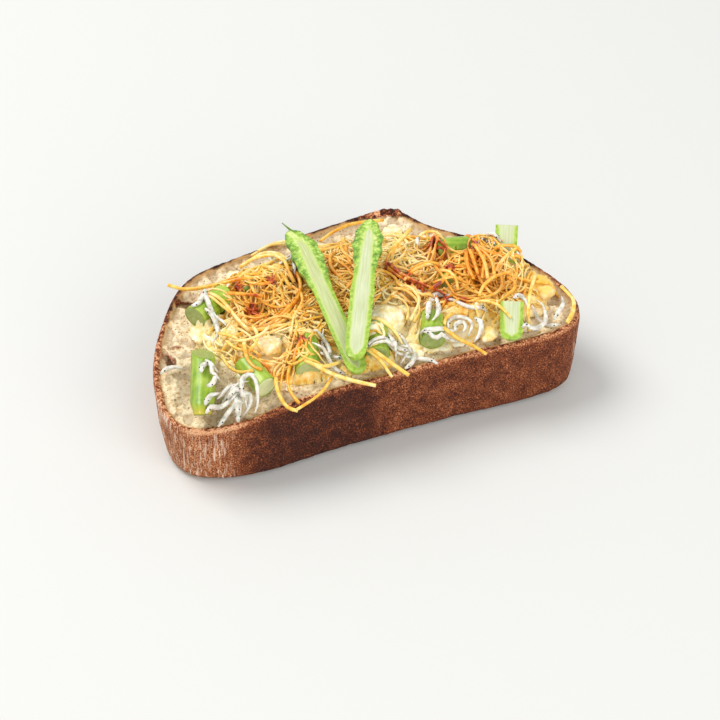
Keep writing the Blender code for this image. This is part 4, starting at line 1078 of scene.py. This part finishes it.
# The ones in plain view, each by the points that it passes, with their heights
STRANDS_SEEN_MM = (
    ((35.6, -3.8, 39.5), (35.2, -11.1, 40.8), (35.7, -16.7, 39.5), (36.6, -20.2, 37.5)),
    ((42, -5.1, 39.5), (36.8, -12.1, 41), (32.3, -15, 40.3), (28.9, -14.5, 38.5)),
    ((30.8, -12.7, 39.5), (34.5, -13.7, 41), (39, -13.7, 40.6), (42, -15.4, 39)),
    ((35.9, -7.8, 40.5), (38.3, -10.7, 41), (39.3, -15, 40), (38.6, -18.5, 38)),
    ((-52.7, -5, 36), (-48.5, -10.5, 37), (-45.1, -18, 36.5), (-42.1, -22.2, 35)),
    ((-39.9, -8.5, 38), (-40.5, -14.4, 38), (-43.7, -18.5, 36.5), (-47.8, -18.6, 34)),
    ((-34.6, -11.3, 38.5), (-39, -14.4, 38.5), (-45.6, -15.4, 38.5), (-49.3, -13.2, 37.5)),
    ((-45.5, -6.1, 37), (-44, -11.9, 38.6), (-42.2, -17.4, 37.5), (-40.8, -19.7, 35)),
    ((-51.6, -11, 36.5), (-49.6, -16.1, 36), (-46.9, -19, 35), (-46, -22.9, 34)),
    ((14.1, -10.8, 37), (17.2, -14, 37), (18.1, -18.8, 36), (15.4, -23.9, 35)),
    ((16.2, -7.9, 38), (20.2, -10.8, 38), (21.9, -17.3, 38), (21, -23.2, 37), (16.9, -27.1, 36)),
    ((0.2, -20.8, 39), (3.6, -24.1, 39.5), (5.9, -28.2, 39), (7.7, -32.6, 37), (8.8, -34.7, 33)),
    ((19.1, -5.9, 38), (22.2, -12.9, 38.5), (26.6, -17.9, 38)),
    ((34.8, 20.3, 38), (28.1, 14.4, 39), (22.6, 10.1, 39), (19.2, 5, 38.5), (20.2, 0.7, 38),
     (22.7, -4.2, 37.5)),
    ((20.3, 5.8, 38.6), (22.2, -1.4, 38.6), (25.5, -8, 38.5), (30.1, -13.7, 38), (34, -17.8, 37)),
    ((22, -5.8, 38.5), (27.5, -2.4, 39), (33.6, -1.7, 39.5), (37.8, -3.4, 39)),
    ((-51.5, 13.8, 39.5), (-49, 10.9, 39.5), (-46.7, 6.2, 38.5), (-44.8, 2.8, 37.5)),
    ((-60, 29, 35.4), (-55, 24.5, 34), (-47, 21, 34), (-39, 17.5, 35.5), (-31, 15, 36)),
    ((-24, 35, 34), (-15.6, 37.7, 34.4), (-8.5, 36.6, 35), (-3, 33, 36)),
    ((2, 28.6, 38), (8, 32.2, 37.5), (16.7, 35.5, 36.5), (25.2, 35.8, 35), (31, 35.4, 34.5)),
    ((-31.4, 27.8, 36), (-25.9, 29.6, 36.5), (-20.3, 28.3, 37.5), (-17.4, 24.8, 37.5), (-16.1, 10.6, 37)),
    ((-29.1, 29.7, 35), (-20.7, 32.4, 35.5), (-15.7, 28.4, 36.5), (-14.2, 19.6, 36)),
    ((-21.4, 34.5, 36), (-15.9, 35.9, 36), (-9.4, 34.2, 36)),
    ((-49.2, 14.2, 38), (-45.5, 8.3, 37), (-43.1, -2.4, 36), (-41.5, -8.3, 36)),
    ((-42.1, 12.2, 37), (-36.2, 9.7, 37.5), (-30.3, 6.3, 38)),
    ((-16.1, 3.4, 37.5), (-18.1, -2.4, 38), (-24.1, -9.6, 38), (-28.9, -18.9, 37)),
    ((19.4, -8.2, 37.5), (21.9, -11, 37.5), (22.9, -15.4, 37.5), (22.4, -19.2, 37.5), (15.9, -26.2, 36.5)),
    ((23.7, -9.3, 38), (24.2, -16.2, 38), (28.5, -18.1, 38)),
    ((38.7, 18.5, 36), (42.4, 20.2, 36), (46.2, 18.6, 36), (46.8, 14.6, 36)),
    ((25.2, -2, 38.5), (30.5, -0.3, 38.5), (34.4, -1.3, 38.5), (37.4, -4.3, 38.5)),
    ((36.8, 22.2, 38), (29.8, 16.4, 39), (22.5, 11.3, 39)),
    ((31.8, -29.1, 37), (28.2, -30.7, 37), (26.1, -34.2, 36)),
    ((53.2, 1.3, 41), (55, -4.7, 41), (52.9, -10.4, 41), (48.8, -17.7, 40)),
    ((52.9, 0.7, 41.5), (55.7, -9.6, 41.5), (53.3, -19.6, 40)),
    ((53.2, -1.3, 41), (52.9, -10.4, 41.5), (50.6, -19.1, 40)),
    ((51, -1.7, 41), (49.4, -8.9, 41), (48.4, -14.9, 40)),
    ((49.3, -1.7, 40.5), (46.6, -9.7, 40.5), (46, -16.5, 39.5)),
    ((61.4, -17.4, 39), (53.2, -19.4, 40), (47.8, -21.7, 40), (43.9, -25.8, 39)),
    ((58.5, -19.9, 39), (59.8, -23.5, 39), (57.2, -27.8, 39), (52.6, -30.3, 39), (48.4, -32.6, 38)),
    ((42, -28.2, 39), (45.4, -30.9, 39.4), (47.6, -36.3, 39.6), (49.7, -41.8, 39)),
    ((70.1, -19.8, 36.5), (63, -29.9, 36.5), (59, -37.2, 35), (56.3, -44.3, 32.5)),
    ((78.5, -25.4, 32.5), (79.2, -31.4, 32.5), (79.2, -34.7, 32.4), (76.3, -40.2, 32.2), (71.6, -45, 32)),
    ((59.7, -4.7, 41), (63.4, -4.8, 41.5), (67.7, -6.3, 41), (68.9, -9.1, 40)),
    ((-41.4, -35.1, 33.6), (-43.3, -40.5, 32.4), (-43.6, -45.6, 32), (-42.4, -50, 31.8), (-39.5, -52, 31.8)),
    ((-40, -51.4, 31.8), (-33.8, -49.5, 32.2), (-28, -47, 32.8), (-22, -42, 34)),
    ((-33, -29.9, 35), (-36.1, -34.1, 34), (-38.4, -39.9, 32.8), (-38.4, -44.9, 32), (-37.6, -48.6, 32)),
    ((-30.2, -35.5, 34), (-25.7, -39.9, 33.6), (-20.4, -43.8, 33.4), (-8.6, -51.4, 33)),
    ((-28.3, -37.5, 34), (-24, -39.3, 34), (-20, -38, 34.4), (-16.3, -36.6, 35)),
    ((-6, -37, 34.6), (-1.2, -42, 33.4), (4.8, -50.5, 32.8)),
    ((-7, -36, 34), (-3, -42, 33), (-1.1, -48.6, 32.4)),
    ((24, -38, 33.4), (28, -41.8, 32.4), (32.6, -45, 32.2), (36.3, -49.8, 32)),
    ((-44.7, -11.5, 36), (-46.7, -16.8, 35.6), (-48.8, -25.2, 35), (-48.3, -30.9, 35), (-46.2, -33.7, 35)),
    ((-54.8, -15.1, 34), (-55.3, -22.7, 34), (-53.3, -29.7, 34.4), (-49, -32.7, 35.6)),
)
luck = random.Random(8)
strand_parts = []


def lay_strand(path, floor=0.0):
    laid = settled(path, STRAND_RADIUS * 0.3, 40, floor)
    radius = STRAND_RADIUS * luck.uniform(0.8, 1.12)
    flat = luck.uniform(0.6, 0.95)
    strand_parts.append((sweep(laid, [radius] * len(laid), 6, flat, luck.uniform(-3, 3)), luck.random()))
    press_in(laid, STRAND_RADIUS * 0.7)


def pile_strands(count):
    for _ in range(count * 30):
        turn, reach = luck.uniform(0, math.tau), math.sqrt(luck.random())
        middle = np.array([8 + math.cos(turn) * 68 * reach, -3 + math.sin(turn) * 38 * reach]) * MM
        length = luck.choice((18, 28, 40, 52)) * luck.uniform(0.8, 1.1) * MM
        bends = [side * bend for side in (-1, 1) for bend in (10, 40, 80, 130)]
        path = curled_path(middle, length, 2 * MM, bends, 0.08)
        aside = np.gradient(path, axis=0)[:, ::-1] * (-1, 1) / (2 * MM)
        for lane in range(luck.choice((1, 1, 1, 2))):
            beside = path + aside * lane * luck.uniform(1.6, 2.4) * MM
            strays = in_mat(beside).mean() < 0.85 or relief[squares(beside)].min() < ON_THE_SLICE
            if strays or turns_away(beside):
                break
            laid = settled(beside, STRAND_RADIUS, 40)
            if hits_roof(laid, STRAND_RADIUS) or laid[:, 2].mean() > HIGHEST_STRAND:
                break
            lay_strand(beside)
            count -= 1
        if count <= 0:
            break


pile_strands(STRAND_COUNT * 2 // 3)
# The cheese set between the strands, a little below their tops, and sank where it was thin
middles_3d = np.column_stack([middles, np.zeros(len(middles))])
hollow = ripples(middles_3d, 5 * MM, 41, 2).reshape(relief.shape)
level = spread(spread(relief, 3, np.maximum), 3, np.minimum)
level -= (0.45 + 2.2 * smooth_step((hollow - 0.25) / 0.3)) * MM
for _ in range(2):
    level = sum(np.roll(level, (i, j), (0, 1)) for i in (-1, 0, 1) for j in (-1, 0, 1)) / 9
level += 0.35 * MM * ripples(middles_3d, 1.7 * MM, 23, 2).reshape(relief.shape)
taper = np.minimum(smooth_step(rim / (3 * MM)), smooth_step((0.6 - kept_open) / 0.4))
level = np.minimum(bare + (level - bare) * taper, roof - 0.6 * MM)
level = np.minimum(level, bare + fill * MM + 4 * MM)
covered = within & (kept_open < 0.6) & (level > bare + 0.3 * MM)
np.maximum(relief, np.where(covered, level, 0), out=relief)
foot = spread(bare, 2, np.maximum) - 1.5 * MM
film_bm = bmesh.new()
bmesh.ops.create_grid(
    film_bm, x_segments=relief.shape[0] - 1, y_segments=relief.shape[1] - 1, size=1.0,
    matrix=Matrix.Diagonal((relief.shape[0] - 1, relief.shape[1] - 1, 1, 1)),
)
for vert in film_bm.verts:
    row = round((vert.co.x + relief.shape[0] - 1) / 2)
    column = round((vert.co.y + relief.shape[1] - 1) / 2)
    vert.tag = not covered[row, column]
    place = CORNER + (np.array([row, column]) + 0.5) * CELL
    vert.co = (*place, level[row, column])
bmesh.ops.delete(film_bm, geom=[v for v in film_bm.verts if v.tag], context="VERTS")
bmesh.ops.delete(film_bm, geom=[v for v in film_bm.verts if not v.link_faces], context="VERTS")
raised = bmesh.ops.extrude_face_region(film_bm, geom=film_bm.faces[:], use_keep_orig=True)
for vert in raised["geom"]:
    if isinstance(vert, bmesh.types.BMVert):
        row, column = squares([vert.co])
        vert.co.z = foot[row[0], column[0]]
bmesh.ops.recalc_face_normals(film_bm, faces=film_bm.faces)
film_mesh = bpy.data.meshes.new("film")
film_bm.to_mesh(film_mesh)
film_bm.free()
store(film_mesh, "tone", 0.5 + 0.5 * ripples(points_of(film_mesh), 4 * MM, 17))
keep_heat(film_mesh)
settle_piece("grilled_cheese_mass", film_mesh, [grilled], "strands")
# Shreds of it lie half sunk in the rest
shred_parts = []
for place in scattered(2.8):
    length = luck.choice((9, 14, 20, 26)) * luck.uniform(0.8, 1.2) * MM
    path = curled_path(place, length, 1.5 * MM, (-260, -180, -110, -50, 50, 110, 180, 260), 0.12)
    if in_mat(path).all() and not turns_away(path):
        laid = settled(path, 0.15 * MM, 12)
        if not hits_roof(laid, 0.8 * MM):
            girth = luck.uniform(0.34, 0.56) * MM * np.array([0.7] + [1] * (len(laid) - 2) + [0.7])
            shred_parts.append((sweep(laid, girth, 5, 0.85, luck.uniform(-2, 2)), luck.random()))
            press_in(laid, 0.3 * MM)
shred_mesh = joined(shred_parts, "shreds")
keep_heat(shred_mesh)
settle_piece("grilled_cheese_shreds", shred_mesh, [grilled], "strands")
lay_fish(FISH_OVER_MM)
pile_strands(STRAND_COUNT // 3)
for corners in FISH_SEEN_MM:
    path = smooth_path(corners, 1.8 * MM)
    add_fish(settled(path[:, :2], 0.8 * MM, 6, path[:, 2]), luck.uniform(1.0, 1.2))
for corners in STRANDS_SEEN_MM:
    path = smooth_path(corners, 2 * MM)
    lay_strand(path[:, :2], path[:, 2])
strand_mesh = joined(strand_parts, "strands")
keep_heat(strand_mesh)
# Taken as potato fried in oil: crisp and a little glassy, golden with paler and darker lengths
fried, tree, surface = start_material("fried_golden_strand")
tone_here = add_node(tree, "Attribute", attribute_name="tone").outputs["Fac"]
colour = grilled_colour(
    tree, tone_here,
    ((0.4, "e69b22"), (0.55, "f1b53c"), (0.68, "f8cd62"), (0.88, "fbe6a2")),
    ((0.4, "d5730f"), (0.6, "ea921c"), (0.8, "f6b23e")),
    ((0.35, "da7220"), (0.5, "b94a18"), (0.66, "862d15")),
)
tree.links.new(colour, surface.inputs["Base Color"])
surface.inputs["Roughness"].default_value = 0.35
surface.inputs["Subsurface Weight"].default_value = 0.15
surface.inputs["Subsurface Scale"].default_value = 1 * MM
settle_piece("golden_strand_heap", strand_mesh, [fried], "strands", "golden_strands")
# Boiled fish skin: milky and wet, with a grey shimmer
fish_mesh = joined(fish_parts, "fish")
fish_skin, tree, surface = start_material("boiled_whitebait_skin")
place = add_node(tree, "TexCoord").outputs["Object"]
milky = add_node(tree, "TexNoise", {"Vector": place, "Scale": 1 / (2 * MM), "Detail": 3.0})
silver = add_node(
    tree, "ValToRGB", {"Fac": milky.outputs["Fac"]},
    stops=((0.3, "b3ac9a"), (0.5, "dad5c6"), (0.7, "f1eee4")),
)
tree.links.new(silver.outputs[0], surface.inputs["Base Color"])
surface.inputs["Roughness"].default_value = 0.3
surface.inputs["Subsurface Weight"].default_value = 0.2
surface.inputs["Subsurface Scale"].default_value = 1 * MM
settle_piece("whitebait", fish_mesh, [fish_skin], "cheese")
eye_bm = bmesh.new()
for spot in eye_parts:
    bmesh.ops.create_icosphere(eye_bm, subdivisions=1, radius=0.34 * MM, matrix=Matrix.Translation(spot))
eye_mesh = bpy.data.meshes.new("eyes")
eye_bm.to_mesh(eye_mesh)
eye_bm.free()
eye_black, tree, surface = start_material("whitebait_eye")
surface.inputs["Base Color"].default_value = srgb("14120f")
surface.inputs["Roughness"].default_value = 0.2
settle_piece("whitebait_eyes", eye_mesh, [eye_black], "cheese")

# The table top, the light and the camera
# A plain pale surface, a large soft light from the back left and a weaker one in front, and a
# long lens that looks down at the slice from its front left corner.
FLOOR_COLOUR = "d1d0cb"
CAMERA_MM = (-317.3, -779.5, 732.8)
AIM_MM = (6, -1, 0)
LENS = 145
floor_bm = bmesh.new()
bmesh.ops.create_grid(floor_bm, x_segments=1, y_segments=1, size=6.0)
floor_mesh = bpy.data.meshes.new("floor")
floor_bm.to_mesh(floor_mesh)
floor_bm.free()
floor_paint, tree, surface = start_material("matt_table_top")
surface.inputs["Base Color"].default_value = srgb(FLOOR_COLOUR)
surface.inputs["Roughness"].default_value = 0.6
floor_mesh.materials.append(floor_paint)
floor = bpy.data.objects.new("floor", floor_mesh)
bpy.context.scene.collection.objects.link(floor)


def add_soft_light(name, place_mm, size, watts):
    lamp = bpy.data.lights.new(name, "AREA")
    lamp.shape = "DISK"
    lamp.size = size
    lamp.energy = watts
    holder = bpy.data.objects.new(name, lamp)
    holder.location = Vector(place_mm) * MM
    holder.rotation_euler = (-holder.location).to_track_quat("-Z", "Y").to_euler()
    bpy.context.scene.collection.objects.link(holder)


add_soft_light("window_back_left", (-650, 780, 1450), 1.1, 24.5)
add_soft_light("reflector_front", (300, -1300, 700), 1.4, 14)
world = bpy.data.worlds.new("room")
bpy.context.scene.world = world
world.use_nodes = True
world.node_tree.nodes["Background"].inputs["Color"].default_value = srgb("f4f6fa")
world.node_tree.nodes["Background"].inputs["Strength"].default_value = 0.7
lens = bpy.data.cameras.new("camera")
lens.lens = LENS
lens.sensor_width = 36
camera = bpy.data.objects.new("camera", lens)
camera.location = Vector(CAMERA_MM) * MM
camera.rotation_euler = (Vector(AIM_MM) * MM - camera.location).to_track_quat("-Z", "Y").to_euler()
bpy.context.scene.collection.objects.link(camera)
bpy.context.scene.camera = camera
bpy.context.scene.view_settings.view_transform = "Standard"
